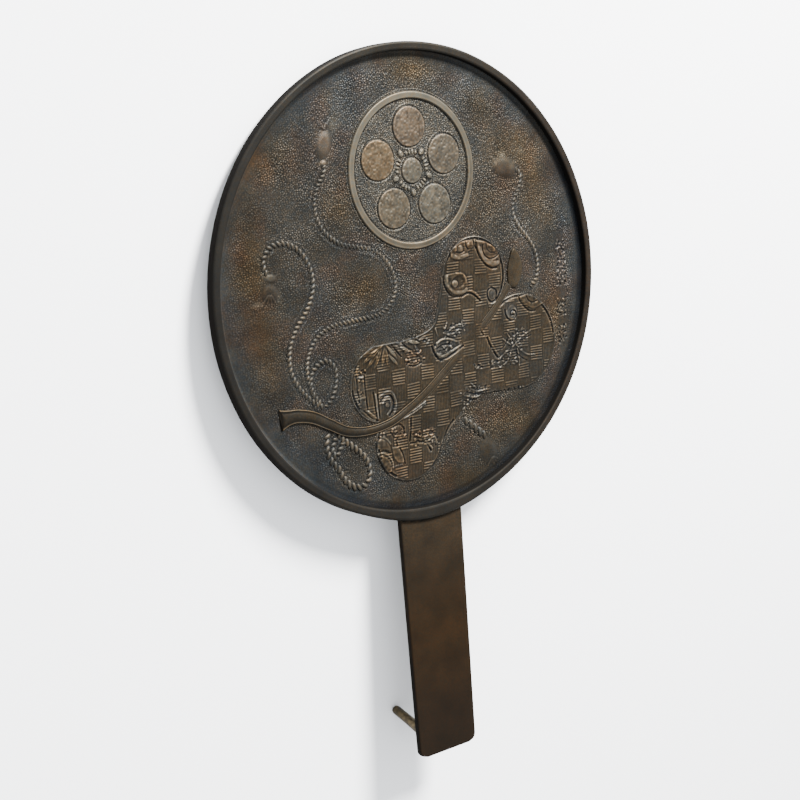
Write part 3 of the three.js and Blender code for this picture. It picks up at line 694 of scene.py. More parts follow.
def ground():
    reach = DISC_RADIUS - RIM_WIDTH + 0.6
    sheet = Sheet((-reach, -reach), (reach, reach), GROUND_STEP)
    x, y = sheet.x, sheet.y
    radius = np.hypot(x, y)
    calm = 1 - 0.75 * smooth(CALM_FROM, CALM_TO, radius)
    grain = grains(x, y, GRAIN_PITCH, 11)
    bumpy = GRAIN_RISE * (0.72 + 0.34 * noise(x, y, 9, 21)) * (1 - 0.35 * smooth(-20, -80, x))
    sheet.z = GROUND_LEVEL + calm * bumpy * (grain - 0.5) + 0.07 * layered_noise(x, y, 7, 31)
    sheet.z += 0.55 * smooth(reach - 3.2, reach - 0.4, radius)
    tassels(sheet)
    column_of_strokes(sheet)
    for _, route in CORDS:
        w = sheet.window(path(route), 5)
        away, _ = line_distance(x[w], y[w], spline(path(route), 1.5))
        lip = np.exp(-((away - CORD_LIP) / 0.55) ** 2) * smooth(-0.4, 0.6, noise(x[w], y[w], 2.6, 55))
        sheet.z[w] += 0.14 * lip
        sheet.tint("steel", np.maximum(0.8 * lip, 0.6 * np.exp(-(away / 2.8) ** 2)), w)
    sheet.find_proud(1.1, 0.42)
    layers = sheet.layers
    warm = sum(share * np.exp(-((x - px) / rx) ** 2 - ((y - py) / ry) ** 2)
               for px, py, rx, ry, share in WARM_PATCHES)
    warm *= 1 + 0.5 * layered_noise(x, y, 12, 41)
    warm += 0.35 * smooth(0.1, 0.7, layered_noise(x, y, 20, 45))
    sheet.tint("ochre", np.clip(warm, 0, 1))
    edge = smooth(82, 97, radius + 6 * noise(x, y, 14, 51))
    cool = np.exp(-((x + 40) / 40) ** 2 - ((y - 80) / 24) ** 2)
    patches = 0.7 * smooth(0.05, 0.6, layered_noise(x, y, 16, 57))
    cool = np.maximum(np.maximum(edge, 0.8 * cool), patches) * (1 - 0.7 * layers["ochre"])
    layers["steel"] = np.clip(np.maximum(layers["steel"], cool), 0, 1)
    layers["rose"] = smooth(-0.1, 0.6, layered_noise(x, y, 11, 47))
    layers["proud"] += 0.07 * layered_noise(x, y, 8, 59) + 0.04 * x / DISC_RADIUS
    # Painted light and shade on the ground just inside the rim: a lighter band on the left, the rim's
    # shadow painted dark on the right and at the bottom, little change at the top.
    rim_light_and_shadow_band = smooth(reach - 4.4, reach - 0.9, radius)
    across, up = x / np.maximum(radius, 1), y / np.maximum(radius, 1)
    shaded = smooth(-0.85, -0.3, across) * (1 - 0.7 * smooth(0.2, 0.8, up))
    layers["proud"] += rim_light_and_shadow_band * (0.18 - 0.56 * shaded)
    sheet.wash(GROUND_WASHES)

    bad = (radius > reach) | (np.hypot(x - CREST[0], y - CREST[1]) < RING_OUTER - 1.6)
    w = sheet.window(FAN, 3)
    bad[w] |= fan_depth(x[w], y[w]) > 1.5
    keep = whole_cells(bad)
    share = np.cumsum(keep.sum(0)) / keep.sum()
    third = np.minimum((share * 3).astype(int), 2)[None, :]
    return [slab(f"ground_{name}", sheet, keep & (third == k))
            for k, name in enumerate(("left", "middle", "right"))]


# ---- Crest ----

def crest():
    reach = RING_OUTER + 1.4
    cx, cy = CREST
    sheet = Sheet((cx - reach, cy - reach), (cx + reach, cy + reach), CREST_STEP)
    x, y = sheet.x, sheet.y
    radius = np.hypot(x - cx, y - cy)
    grain = grains(x, y, CREST_GRAIN, 12)
    sheet.z = GROUND_LEVEL + 0.12 + 0.3 * (grain - 0.5) + 0.05 * noise(x, y, 5, 32)
    sheet.layers["steel"][:] = 0.45
    sheet.layers["bare"][:] = 0.36 * grain + 0.14 * noise(x, y, 4, 36)
    ring = smooth(0, 0.45, radius - RING_INNER) * smooth(0, 0.6, RING_OUTER - radius)
    sheet.level(ring, FIELD_HEIGHT + RING_RISE + 0.03 * noise(x, y, 3, 33))
    sheet.z -= 0.12 * crease(radius - RING_INNER + 0.4, 0.5)
    sheet.z += 0.14 * crease(radius - RING_OUTER - 0.6, 0.4)
    for layer in sheet.layers.values():
        layer *= 1 - ring
    # The ring is painted lighter towards the upper right, its lit side, and darker and warmer towards the
    # lower left, as painted shade.
    shaded_lower_left = smooth(20, -30, y - cy - 0.3 * (x - cx))
    sheet.tint("bare", ring * (1.0 - 0.48 * shaded_lower_left + 0.18 * noise(x, y, 4, 34)))
    sheet.tint("ochre", ring * 0.4 * shaded_lower_left)

    spots = [(0.0, 0.0, HEART_RADIUS)]
    for k in range(PETALS):
        spots.append((*polar(PETAL_ORBIT, 90 + 360 / PETALS * k), PETAL_RADIUS))
    for k, (dx, dy, r) in enumerate(spots):
        away = np.hypot(x - cx - dx, y - cy - dy)
        boss = smooth(0, 0.45, r - away)
        hammer = 0.16 * layered_noise(x, y, 3.4, 61 + 5 * k) + 0.13 * noise(x, y, 0.85, 62 + 5 * k)
        sheet.level(boss, FIELD_HEIGHT + BOSS_RISE - 0.2 * (away / r) ** 2 + hammer)
        sheet.z -= 0.26 * crease(away - r - 0.2, 0.35)
        lean = 0.5 * (x - cx - dx) / r + 0.4 * (y - cy - dy) / r
        broken = smooth(-0.5, 0.5, noise(x, y, 5, 64 + 5 * k) - lean)
        sheet.z += 0.24 * broken * crease(away - r - 0.85, 0.45)
        for name in ("steel", "soot_and_painted_shade", "bare"):
            sheet.layers[name] *= 1 - boss
        for name, share in BOSS_TINTS[k].items():
            sheet.tint(name, share * boss)
        worn = 0.6 + 0.5 * layered_noise(x, y, 2.2, 63 + 5 * k)
        sheet.tint("bare", worn * boss)

    for k in range(PETALS):
        gap = 90 + 360 / PETALS * (k + 0.5)
        dx, dy = polar(BEAD_ORBIT, gap)
        sheet.knob(cx + dx, cy + dy, 1.9, 1.45, gap, 0.75, "bare")
        for turn, long in KNOBS:
            dx, dy = polar(KNOB_ORBIT, gap + turn)
            sheet.knob(cx + dx, cy + dy, long, 0.72, gap + turn, 0.6, "bare")
    sheet.find_proud(0.9, 0.24)
    sheet.z -= smooth(RING_OUTER + 0.9, reach, radius)
    return slab("crest_relief", sheet, whole_cells(radius > reach - 0.05))


# ---- War fan ----

def weave(sheet, depth):
    lean = CELL_LEAN * (sheet.y - CELL_UPRIGHT_AT)
    x = sheet.x - lean + 0.45 * noise(sheet.x, sheet.y, 11, 81)
    y = sheet.y + 0.35 * noise(sheet.x, sheet.y, 11, 82) + 0.02 * (sheet.x - 20)
    u = (x - CELL_ORIGIN[0]) / CELL_WIDTH
    v = (y - CELL_ORIGIN[1]) / CELL_HEIGHT
    column, row = np.floor(u), np.floor(v)
    u, v = u - column, v - row
    ridged = (column + row) % 2 == 0
    across = np.abs(u - 0.5) * CELL_WIDTH
    ragged = noise(column * 7.3 + np.floor(v * RIDGES_PER_CELL), row * 3.1, 1.0, 83)
    end = CELL_WIDTH / 2 + 0.45 * ragged - 0.25
    bar = np.abs(np.sin(math.pi * v * RIDGES_PER_CELL)) ** 4
    worn = 0.72 + 0.4 * noise(sheet.x, sheet.y, 4.5, 84)
    bars = bar * smooth(0, 0.8, end - across) * worn
    thread = np.abs(np.sin(math.pi * u * THREADS_PER_CELL)) ** 1.5
    inside = smooth(0.9, 1.6, depth)
    sheet.z += inside * np.where(ridged, 0.27 * bars - 0.04, 0.13 * thread * worn - 0.09)


def faintness(x):
    """How far the worn shaft has sunk into the weave at X."""
    return np.exp(-((x - SHAFT_FAINT_AT) / SHAFT_FAINT_SPREAD) ** 2)


def fan():
    low, high = FAN.min(0) - 1.6, FAN.max(0) + 1.6
    sheet = Sheet(low, high, FAN_STEP)
    x, y = sheet.x, sheet.y
    depth = fan_depth(x, y)
    sheet.z = FAN_LEVEL + 0.05 * noise(x, y, 6, 91) + 0.03 * noise(x, y, 1.2, 92)
    weave(sheet, depth)
    line, run = even(spline(SHAFT, 0.5), 1.0)
    away, along = line_distance(x, y, line[:, :2])
    under = 1 - smooth(0, 1.0, away - 0.5 * np.interp(along, run, line[:, 2]))
    under *= 1 - 0.75 * faintness(x)
    sheet.z += under * (FAN_LEVEL - 0.15 - sheet.z)
    plain = sheet.z.copy()
    sheet.ridge(np.vstack([FAN, FAN[:1]]), FAN_BORDER_WIDTH, 0.16, "steel")
    for lobe, start, end in DARK_EDGES:
        cx, cy, r = LOBES[lobe][:3]
        a = np.radians(np.arange(start, end, 4))
        inner = np.stack([cx + (r - 0.95) * np.cos(a), cy + (r - 0.95) * np.sin(a)], 1)
        sheet.ridge(inner, FAN_BORDER_WIDTH, -0.5)
    for outline, rise, layer in FAN_PATCHES:
        sheet.patch(outline, rise, layer)
    for entry in FAN_LEAVES:
        sheet.leaf(*entry)
    for entry in FAN_KNOBS:
        sheet.knob(*entry)
    for width, rise, layer, lines in FAN_STROKES:
        for points in map(path, lines):
            sheet.ridge(spline(points, 0.6) if len(points) > 2 else points, width, rise, layer)
    random = np.random.default_rng(151)
    for cx, cy, across, along, count, layer in FAN_CLUSTERS:
        for _ in range(count):
            px, py = cx + across * random.uniform(-1, 1), cy + along * random.uniform(-1, 1)
            long, turn = random.uniform(0.6, 1.3), random.uniform(-50, 50)
            sheet.knob(px, py, long, 0.55, turn, random.choice([0.24, 0.18, -0.25]), layer)
    hem, _ = even(spline(path(HEM), 0.5), 0.85)
    for (px, py), row in product(hem, (-0.55, 0.55)):
        sheet.knob(px + 0.2 * row, py + row, 0.62, 0.5, 30, 0.38, "steel")
    sheet.z = plain + (sheet.z - plain) * (0.78 + 0.42 * noise(x, y, 1.5, 96))
    sheet.wash(FAN_WASHES)
    base = 0.7 + 0.3 * layered_noise(x, y, 6, 93)
    layers = sheet.layers
    layers["ochre"] = np.clip(np.maximum(layers["ochre"], base), 0, 1)
    layers["ochre"] *= 1 - 0.7 * layers["steel"]
    for name in ("bare", "steel", "rose"):
        layers[name] *= 0.62 + 0.38 * noise(x, y, 1.6, 94)
    sheet.find_proud(0.9, 0.2)
    layers["proud"] *= 0.98 + 0.12 * layered_noise(x, y, 7, 95)
    sheet.z -= 1.6 * smooth(0.25, -0.7, depth)
    sheet.z = np.maximum(sheet.z, FAN_LOWEST)
    return slab("war_fan_relief", sheet, whole_cells(depth < -0.85))


# ---- Sweeps: shaft, cords ----

def closed_sweep(name, rings, **tones):
    """Rings of points joined into a closed body with flat ends."""
    count, sides = rings.shape[:2]
    number = np.arange(count * sides).reshape(count, sides)
    a, b = number[:-1], number[1:]
    quads = np.stack([a, np.roll(a, -1, 1), np.roll(b, -1, 1), b], -1).reshape(-1, 4)
    faces = quads.tolist() + [number[0][::-1].tolist(), number[-1].tolist()]
    mesh = bpy.data.meshes.new(name)
    mesh.from_pydata(to_world(rings.reshape(-1, 3)).tolist(), [], faces)
    add_layers(mesh, blank_layers((count, sides)) | tones)
    mesh.polygons.foreach_set("use_smooth", np.ones(len(mesh.polygons), bool))
    mesh.update()
    close(mesh)
    return new_object(name, mesh)


def joined(name, things):
    bpy.ops.object.select_all(action="DESELECT")
    for thing in things:
        thing.select_set(True)
    bpy.context.view_layer.objects.active = things[0]
    bpy.ops.object.join()
    things[0].name = name
    return things[0]


def cord(number, size, route):
    line, run = even(spline(path(route), 0.5), CORD_STEP)
    side = np.pad(directions(line)[1], ((0, 0), (0, 1)))
    up = np.tile([0.0, 0.0, STRAND_FLATNESS], (len(line), 1))
    centre = np.column_stack([line, np.full(len(line), FIELD_HEIGHT + CORD_LIFT)])
    centre[:, 2] += 0.12 * noise(run, run * 0 + number, 7, 103 + number)
    worn = 0.12 * noise(run, run * 0 + number, 6, 100 + number)
    patchy = noise(run, run * 0 + number, 9, 107)[:, None]
    ends = smooth(0, 2.5, run) * smooth(0, 2.5, run[-1] - run)
    spokes = np.arange(STRAND_SIDES) / STRAND_SIDES * 2 * math.pi
    ring = (np.cos(spokes)[None, :, None] * side[:, None, :]
            + np.sin(spokes)[None, :, None] * up[:, None, :])
    strands = []
    for half in (0, 1):
        twist = 2 * math.pi * run / (TWIST_PITCH * size) + math.pi * half
        bend = np.cos(twist)[:, None] * side + 0.8 * np.sin(twist)[:, None] * up
        offset = STRAND_OFFSET * size * bend
        swell = STRAND_RADIUS * size * (1 + 0.34 * np.sin(twist) + worn) * (0.72 + 0.28 * ends)
        points = (centre + offset)[:, None, :] + swell[:, None, None] * ring
        proud = np.clip((points[..., 2] - FIELD_HEIGHT + 0.1) / (0.55 * size), 0, 1)
        strands.append(closed_sweep(
            f"strand_{number}_{half}", points, proud=0.4 + (0.36 + 0.12 * patchy) * proud,
            steel=0.4 * (1 - proud), ochre=(0.35 + 0.3 * patchy) * proud,
            bare=(0.16 + 0.16 * patchy) * proud ** 2))
    return joined(f"cord_{number}", strands)


def shaft():
    line, run = even(spline(SHAFT, 0.5), 0.5)
    centre, width = line[:, :2], line[:, 2]
    way, side = directions(centre)
    top = FIELD_HEIGHT + SHAFT_RISE
    half_profile = [  # share of the half-width, height
        (1.0, SLAB_BOTTOM), (1.0, top - 0.85), (0.97, top - 0.45), (0.89, top - 0.33),
        (0.81, top - 0.4), (0.72, top - 0.5), (0.5, top - 0.2), (0.25, top - 0.04),
    ]
    profile = half_profile + [(0.0, top)] + [(-share, height) for share, height in half_profile[::-1]]
    rings = np.empty((len(centre), len(profile), 3))
    for k, (share, height) in enumerate(profile):
        rings[:, k, :2] = centre + side * (share * width / 2)[:, None]
        rings[:, k, 2] = height
    spread = np.abs([share for share, _ in profile])[None, :, None]
    rings[..., :2] -= SHAFT_NOTCH * smooth(4.5, 0, run)[:, None, None] * (spread - 0.5) * way[:, None, :]
    rings[..., 2] += 0.05 * noise(rings[..., 0], rings[..., 1], 4, 111) * (rings[..., 2] > 2)
    faint = smooth(-20, 6, centre[:, 0])[:, None]
    sunk = faintness(centre[:, :1])
    rings[..., 2] -= (0.6 * faint + 0.5 * sunk) * (rings[..., 2] > 2)
    rings[:, 2:-2, 2] += 0.55 * faint * (rings[:, 2:-2, 2].max(1, keepdims=True) - rings[:, 2:-2, 2])
    tones = [0.2, 0.3, 0.62, 0.85, 0.45, 0.2, 0.38, 0.46, 0.48]
    proud = np.broadcast_to(tones + tones[-2::-1], rings.shape[:2])
    proud = proud + faint * (0.03 + 0.6 * (0.55 - proud))
    ochre = 0.7 + 0.3 * noise(rings[..., 0], rings[..., 1], 6, 113)
    return closed_sweep("fan_shaft", rings, proud=proud, ochre=ochre)


def shaft_tip():
    loop = spline(path(SHAFT_TIP + SHAFT_TIP[:2]), 0.7)[:-1]
    middle = loop.mean(0)
    profile = [(1.02, SLAB_BOTTOM), (1, 2.05), (0.96, 2.3), (0.88, 2.36), (0.7, 2.3), (0.3, 2.33)]
    rings = np.array([np.pad(middle + share * (loop - middle), ((0, 0), (0, 1)), constant_values=height)
                      for share, height in profile])
    x, y = rings[..., 0], rings[..., 1]
    proud = 0.52 + 0.012 * (x - 58) + 0.05 * noise(x, y, 3, 115)
    return closed_sweep("fan_shaft_tip", rings, proud=proud, ochre=np.full(x.shape, 0.85))


# ---- Body of the casting ----

def lathe(name, profile, sides, warp):
    angle = np.arange(sides) / sides * 2 * math.pi
    rings = [np.stack([radius * np.cos(angle), radius * np.sin(angle), 0 * angle + height], 1)
             for radius, height in profile]
    return closed_sweep(name, warp(np.array(rings)))


def disc_shape(rings):
    radius = np.hypot(rings[..., 0], rings[..., 1])
    angle = np.arctan2(rings[..., 0], -rings[..., 1]) / DEG
    share = np.clip((radius - DISC_RADIUS + RIM_WIDTH) / RIM_WIDTH, 0, 1)
    swell = share * RIM_FLARE * np.exp(-(angle / RIM_FLARE_SPREAD) ** 2)
    swell += share * 0.08 * noise(rings[..., 0], rings[..., 1], 17, 121)
    rings[..., :2] *= (1 + swell / np.maximum(radius, 1))[..., None]
    return rings


def body():
    outer, inner, top = DISC_RADIUS, DISC_RADIUS - RIM_WIDTH, RIM_HEIGHT
    profile = [
        (1, 0), (60, 0), (outer - 0.7, 0), (outer - 0.25, 0.1), (outer, 0.4), (outer, top - 0.8),
        (outer - 0.12, top - 0.4), (outer - 0.45, top - 0.12), (outer - 1, top), (inner + 0.9, top),
        (inner + 0.4, top - 0.1), (inner + 0.1, top - 0.4), (inner, top - 0.9),
        (inner - 0.1, CORE_LEVEL + 0.3), (inner - 0.3, CORE_LEVEL), (60, CORE_LEVEL), (1, CORE_LEVEL),
    ]
    disc = lathe("mirror_body", profile, DISC_SIDES, disc_shape)
    rings = []
    for y in np.linspace(HANDLE_TOP, HANDLE_END, HANDLE_STATIONS):
        share = (HANDLE_TOP - y) / (HANDLE_TOP - HANDLE_END)
        half = (HANDLE_WIDTH + (HANDLE_END_WIDTH - HANDLE_WIDTH) * share) / 2
        left = y - HANDLE_END
        if left < HANDLE_CORNER:
            half -= HANDLE_CORNER - math.sqrt(max(0, HANDLE_CORNER ** 2 - (HANDLE_CORNER - left) ** 2))
        rings.append(handle_section(y, half))
    grip = closed_sweep("grip", np.array(rings))
    weld = disc.modifiers.new("weld", "BOOLEAN")
    weld.operation = "UNION"
    weld.solver = "EXACT"
    weld.object = grip
    shown = disc.evaluated_get(bpy.context.evaluated_depsgraph_get())
    mesh = bpy.data.meshes.new_from_object(shown)
    disc.modifiers.clear()
    disc.data = mesh
    bpy.data.objects.remove(grip)
    facing = np.empty(len(mesh.polygons) * 3)
    mesh.polygons.foreach_get("normal", facing)
    level = np.abs(facing.reshape(-1, 3) @ np.array(NORMAL)) > 0.9999
    mesh.set_sharp_from_angle(angle=SHARP_ANGLE * DEG)
    mesh.polygons.foreach_set("use_smooth", ~level)
    for key in LAYERS:
        if key in mesh.attributes:
            mesh.attributes.remove(mesh.attributes[key])
    add_layers(mesh, body_layers(mesh))
    return disc


def body_layers(mesh):
    where = np.empty(len(mesh.vertices) * 3)
    mesh.vertices.foreach_get("co", where)
    x, y, z = from_world(where.reshape(-1, 3)).T
    radius = np.hypot(x, y)
    back = np.where(z < 0.05, smooth(-112, -150, y), 1.0)
    edge = DISC_RADIUS + RIM_FLARE * np.exp(-(np.arctan2(x, -y) / DEG / RIM_FLARE_SPREAD) ** 2)
    on_handle = (y < -100) & (radius > edge + 0.2) & (back > 0)
    on_wall = ~on_handle & (z > 0.2) & (z < RIM_HEIGHT - 0.5)
    on_wall &= (z > CORE_LEVEL - 0.2) | (radius > edge - 0.4) & (np.abs(x - HANDLE_CENTRE) > 19)
    inside = radius < edge - 0.7
    from_top = np.abs(np.arctan2(x, y) / DEG + 4)
    worn = np.exp(-(from_top / 26) ** 2)
    across = x / np.maximum(radius, 1)
    left, right = smooth(0.3, 0.9, -across), smooth(0.2, 0.9, across)
    # Painted light and shade on the flat rim top: a little lighter on the right, darker on the left away
    # from the light, and also darker towards the bottom.
    proud = 0.4 + 0.02 * worn + 0.05 * right
    proud = np.where(on_handle, 0.36 + 0.13 * back * smooth(-150, -108, y), proud)
    soot_and_painted_shade = (0.05 + 0.2 * smooth(20, -90, y) + 0.4 * left) * (1 - worn)
    # Painted shade on the rim's walls: the outer wall is painted near black, and the inner wall is painted
    # black everywhere but on the left, as the rim's own shadow.
    soot_and_painted_shade = np.where(on_wall, np.where(inside, smooth(-0.8, -0.25, across), 1.0), soot_and_painted_shade)
    # Darkens the handle's side walls, and the whole handle towards its end.
    soot_and_painted_shade += np.where(on_handle & (z < HANDLE_THICKNESS - 0.4) & (z > 0.1), 0.6, 0)
    soot_and_painted_shade += np.where(on_handle, 0.45 * smooth(-150, -215, y), 0)
    glow = np.exp(-((x - 6) / 16) ** 2 - ((y + 172) / 30) ** 2)
    return blank_layers(len(x)) | {
        # On the left inner wall, steel is a painted blue-grey reflection of the light; elsewhere on the
        # left it is a weaker blue-grey tint.
        "proud": proud, "soot_and_painted_shade": soot_and_painted_shade, "steel": np.where(on_wall & inside, left, 0.3 * left),
        "rose": np.where(on_handle, 0, 0.8 * right),
        "ochre": np.where(on_handle, 0.3 + back * (0.5 + 0.2 * glow), 0.3),
        "umber": np.where(on_handle, back * (0.2 + 0.5 * smooth(-112, -165, y)), 0),
    }


def handle_section(y, half):
    """The handle's cross-section: flat faces with rounded edges."""
    edge, top = HANDLE_EDGE, HANDLE_THICKNESS
    right, left = half - edge, -half + edge
    early, late = [[k * 30 * DEG for k in ks] for ks in ((0, 1, 2), (1, 2, 3))]
    sin, cos = math.sin, math.cos
    points = [(x, 0.03) for x in np.linspace(left, right, 9)]
    points += [(right + edge * sin(a), edge - edge * cos(a)) for a in late]
    points += [(right + edge * cos(a), top - edge + edge * sin(a)) for a in early]
    points += [(x, top) for x in np.linspace(right, left, 9)]
    points += [(left - edge * sin(a), top - edge + edge * cos(a)) for a in late]
    points += [(left - edge * cos(a), edge - edge * sin(a)) for a in early]
    p = np.array(points)
    lift = 0.035 * noise(p[:, 0], 0 * p[:, 0] + y, 9, 131) * (p[:, 1] > 1)
    return np.column_stack([HANDLE_CENTRE + p[:, 0], np.full(len(p), y), p[:, 1] + lift])


# ---- The rod ----

def rod():
    profile = [(0.05, -ROD_LENGTH)]
    for degrees in (15, 30, 45, 60, 75, 90):
        a = degrees * DEG
        profile.append((ROD_RADIUS * math.sin(a), -ROD_LENGTH + ROD_RADIUS * (1 - math.cos(a))))
    profile += [(1.03 * ROD_RADIUS, -0.55 * ROD_LENGTH), (1.1 * ROD_RADIUS, -0.25 * ROD_LENGTH),
                (0.96 * ROD_FOOT_RADIUS, -1.2), (ROD_FOOT_RADIUS, -0.75)]
    c, s = polar(1, ROD_LEAN)

    def place(rings):
        x, y, z = np.moveaxis(rings, -1, 0)
        out = np.stack([x + ROD_ROOT[0], y * c - z * s + ROD_ROOT[1], y * s + z * c], -1)
        out[-1, :, 2] = -ROD_GAP
        return out

    return lathe("rod_body", profile, ROD_SIDES, place)


# ---- Materials ----

BRONZE_RAMP = [  # how far a place stands out, colour
    (0.15, (0.0032, 0.0035, 0.004)), (0.45, (0.011, 0.0107, 0.0097)),
    (0.7, (0.0285, 0.026, 0.0218)), (1.0, (0.082, 0.07, 0.0535)),
]
BRONZE_TONES = [  # layer, share, tint, blending
    ("ochre", 0.8, (1.27, 0.95, 0.58), "MULTIPLY"), ("steel", 0.9, (0.92, 1.04, 1.22), "MULTIPLY"),
    ("bare", 0.75, (0.0645, 0.0565, 0.042), "MIX"), ("rose", 0.6, (1.2, 0.92, 0.8), "MULTIPLY"),
]
FLECK_RAMP = [(0.36, (0.82, 0.98, 1.14)), (0.64, (1.14, 1.01, 0.84))]
CLOUD_RAMP = [(0.0, (0.62, 0.64, 0.66)), (0.5, (1.0, 0.97, 0.92)), (1.0, (1.4, 1.3, 1.2))]
BRASS_RAMP = [(0.3, (0.016, 0.0115, 0.0055)), (0.7, (0.06, 0.044, 0.02))]


def shader(name):
    made = bpy.data.materials.new(name)
    made.use_nodes = True
    tree = made.node_tree
    tree.nodes.clear()
    out = tree.nodes.new("ShaderNodeOutputMaterial")
    bsdf = tree.nodes.new("ShaderNodeBsdfPrincipled")
    tree.links.new(bsdf.outputs[0], out.inputs[0])
    return made, tree, bsdf


def attribute(tree, name):
    made = tree.nodes.new("ShaderNodeAttribute")
    made.attribute_name = name
    return made.outputs["Fac"]


def feed(tree, socket, value):
    """Sets a socket to a number or a colour, or links it to another."""
    if isinstance(value, (int, float)):
        socket.default_value = value
    elif isinstance(value, tuple):
        socket.default_value = (*value, 1)
    else:
        tree.links.new(value, socket)


def math_node(tree, operation, a, b):
    made = tree.nodes.new("ShaderNodeMath")
    made.operation = operation
    feed(tree, made.inputs[0], a)
    feed(tree, made.inputs[1], b)
    return made.outputs[0]


def blend(tree, share, a, b, mode="MIX"):
    made = tree.nodes.new("ShaderNodeMix")
    made.data_type = "RGBA"
    made.blend_type = mode
    feed(tree, made.inputs[0], share)
    feed(tree, made.inputs[6], a)
    feed(tree, made.inputs[7], b)
    return made.outputs[2]


def speckle(tree, scale, detail=3.0):
    place = tree.nodes.new("ShaderNodeTexCoord")
    made = tree.nodes.new("ShaderNodeTexNoise")
    made.inputs["Scale"].default_value = scale
    made.inputs["Detail"].default_value = detail
    tree.links.new(place.outputs["Object"], made.inputs["Vector"])
    return made.outputs["Fac"]


def ramp(tree, value, stops):
    made = tree.nodes.new("ShaderNodeValToRGB")
    tree.links.new(value, made.inputs[0])
    first, last = made.color_ramp.elements
    first.position, last.position = stops[0][0], stops[-1][0]
    first.color, last.color = (*stops[0][1], 1), (*stops[-1][1], 1)
    for position, colour in stops[1:-1]:
        made.color_ramp.elements.new(position).color = (*colour, 1)
    return made.outputs[0]


def bronze():
    made, tree, bsdf = shader("aged_bronze")

    def times(a, b):
        return math_node(tree, "MULTIPLY", a, b)

    def plus(a, b):
        return math_node(tree, "ADD", a, b)

    def centred(value):
        return math_node(tree, "SUBTRACT", value, 0.5)

    height = plus(attribute(tree, "proud"), times(centred(speckle(tree, 1400)), 0.24))
    colour = ramp(tree, height, BRONZE_RAMP)
    for layer, share, tone, mode in BRONZE_TONES:
        colour = blend(tree, times(attribute(tree, layer), share), colour, tone, mode)
    colour = blend(tree, 0.6, colour, ramp(tree, speckle(tree, 800, 2), FLECK_RAMP), "MULTIPLY")
    colour = blend(tree, attribute(tree, "umber"), colour, (1.6, 1.0, 0.45), "MULTIPLY")
    cloud = plus(times(centred(speckle(tree, 90, 4)), 1.4), 0.5)
    colour = blend(tree, 1.0, colour, ramp(tree, cloud, CLOUD_RAMP), "MULTIPLY")
    # Near black where the soot layer is high: on the handle, and as painted shade on the rim's walls and
    # the left rim top.
    soot_and_painted_shade = attribute(tree, "soot_and_painted_shade")
    colour = blend(tree, soot_and_painted_shade, colour, (0.003, 0.0026, 0.0022))
    tree.links.new(colour, bsdf.inputs["Base Color"])
    clean = math_node(tree, "SUBTRACT", 1.0, soot_and_painted_shade)
    tree.links.new(times(clean, 0.6), bsdf.inputs["Metallic"])
    bsdf.inputs["Specular IOR Level"].default_value = 0.04
    tree.links.new(plus(times(soot_and_painted_shade, 0.52), 0.48), bsdf.inputs["Roughness"])
    bump = tree.nodes.new("ShaderNodeBump")
    bump.inputs["Strength"].default_value = 0.25
    bump.inputs["Distance"].default_value = 0.0002
    tree.links.new(speckle(tree, 2600), bump.inputs["Height"])
    tree.links.new(bump.outputs[0], bsdf.inputs["Normal"])
    return made


def brass():
    made, tree, bsdf = shader("dull_brass")
    colour = ramp(tree, speckle(tree, 500, 4), BRASS_RAMP)
    tree.links.new(colour, bsdf.inputs["Base Color"])
    bsdf.inputs["Metallic"].default_value = 0.8
    bsdf.inputs["Roughness"].default_value = 0.4
    return made


def plain_floor():
    made, tree, bsdf = shader("pale_floor")
    bsdf.inputs["Base Color"].default_value = (0.93, 0.93, 0.93, 1)
    bsdf.inputs["Roughness"].default_value = 0.9
    bsdf.inputs["Specular IOR Level"].default_value = 0.1
    return made


# ---- Put together ----

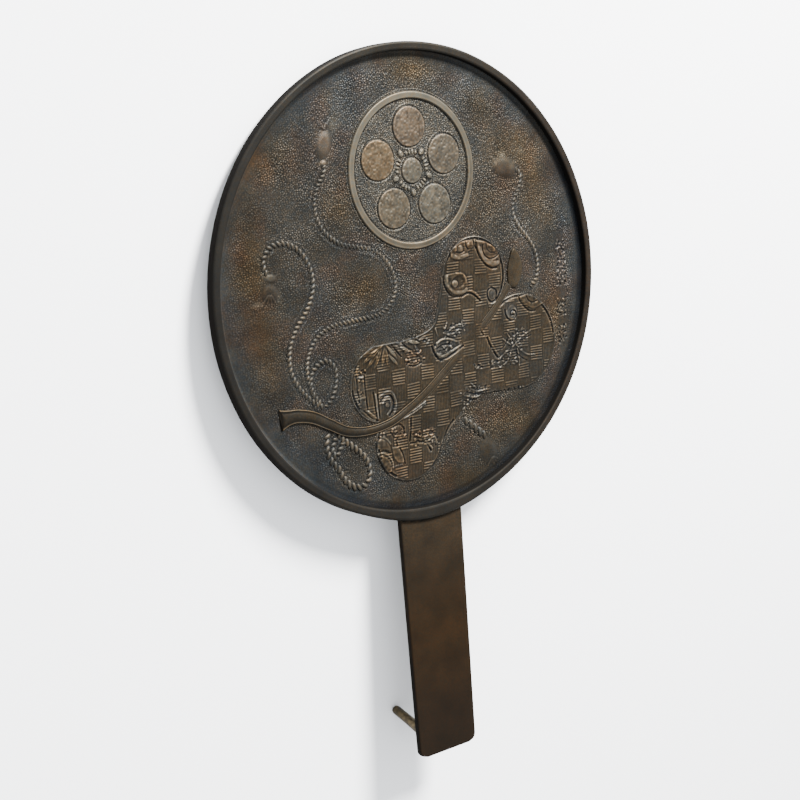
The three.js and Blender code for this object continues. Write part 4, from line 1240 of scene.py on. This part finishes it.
def dress():
    metal = bronze()
    casting = body()
    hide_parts("mirror")
    pieces = [casting, *ground(), crest(), fan(), shaft(), shaft_tip()]
    pieces += [cord(number + 1, *entry) for number, entry in enumerate(CORDS)]
    for piece in pieces:
        piece.data.materials.clear()
        piece.data.materials.append(metal)
        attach(piece, "root")
    stand = rod()
    stand.data.materials.append(brass())
    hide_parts("support_rod")
    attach(stand, "root")


CAMERA_PLACE = (-433.64, 81.0, 575.48)
CAMERA_RIGHT = (0.79571, -0.07578, 0.60092)
CAMERA_UP = (0.16952, 0.98035, -0.10084)
CAMERA_LENS = 73.215
LIGHT_WAY = (0.32, 0.74, 0.67)
LIGHT_REACH = 1.4
LIGHT_SIZE = 0.45
LIGHT_POWER = 155.0
WORLD_STRENGTH = 2.0
WORLD_COLOUR = (0.93, 0.96, 1.0, 1)
FLOOR_REACH = 3.0


def studio():
    corners = [(a * FLOOR_REACH, b * FLOOR_REACH, 0) for a, b in ((-1, -1), (1, -1), (1, 1), (-1, 1))]
    mesh = bpy.data.meshes.new("floor")
    mesh.from_pydata(corners, [], [(0, 1, 2, 3)])
    floor = new_object("floor", mesh)
    mesh.materials.append(plain_floor())

    lens = bpy.data.cameras.new("camera")
    lens.lens = CAMERA_LENS
    lens.sensor_width = 36
    lens.clip_start, lens.clip_end = 0.01, 20
    camera = new_object("camera", lens)
    right, up = Vector(turned(CAMERA_RIGHT)), Vector(turned(CAMERA_UP))
    back = right.cross(up)
    basis = Matrix((right, up, back)).transposed().to_4x4()
    basis.translation = Vector(to_world(CAMERA_PLACE))
    camera.matrix_world = basis
    bpy.context.scene.camera = camera

    way = Vector(turned(LIGHT_WAY)).normalized()
    lamp = bpy.data.lights.new("key", "AREA")
    lamp.shape = "DISK"
    lamp.size = LIGHT_SIZE
    lamp.energy = LIGHT_POWER
    key = new_object("key", lamp)
    key.location = way * LIGHT_REACH
    key.rotation_mode = "QUATERNION"
    key.rotation_quaternion = way.to_track_quat("Z", "Y")

    world = bpy.data.worlds.new("studio")
    world.use_nodes = True
    background = world.node_tree.nodes["Background"]
    background.inputs[0].default_value = WORLD_COLOUR
    background.inputs[1].default_value = WORLD_STRENGTH
    bpy.context.scene.world = world


dress()
studio()
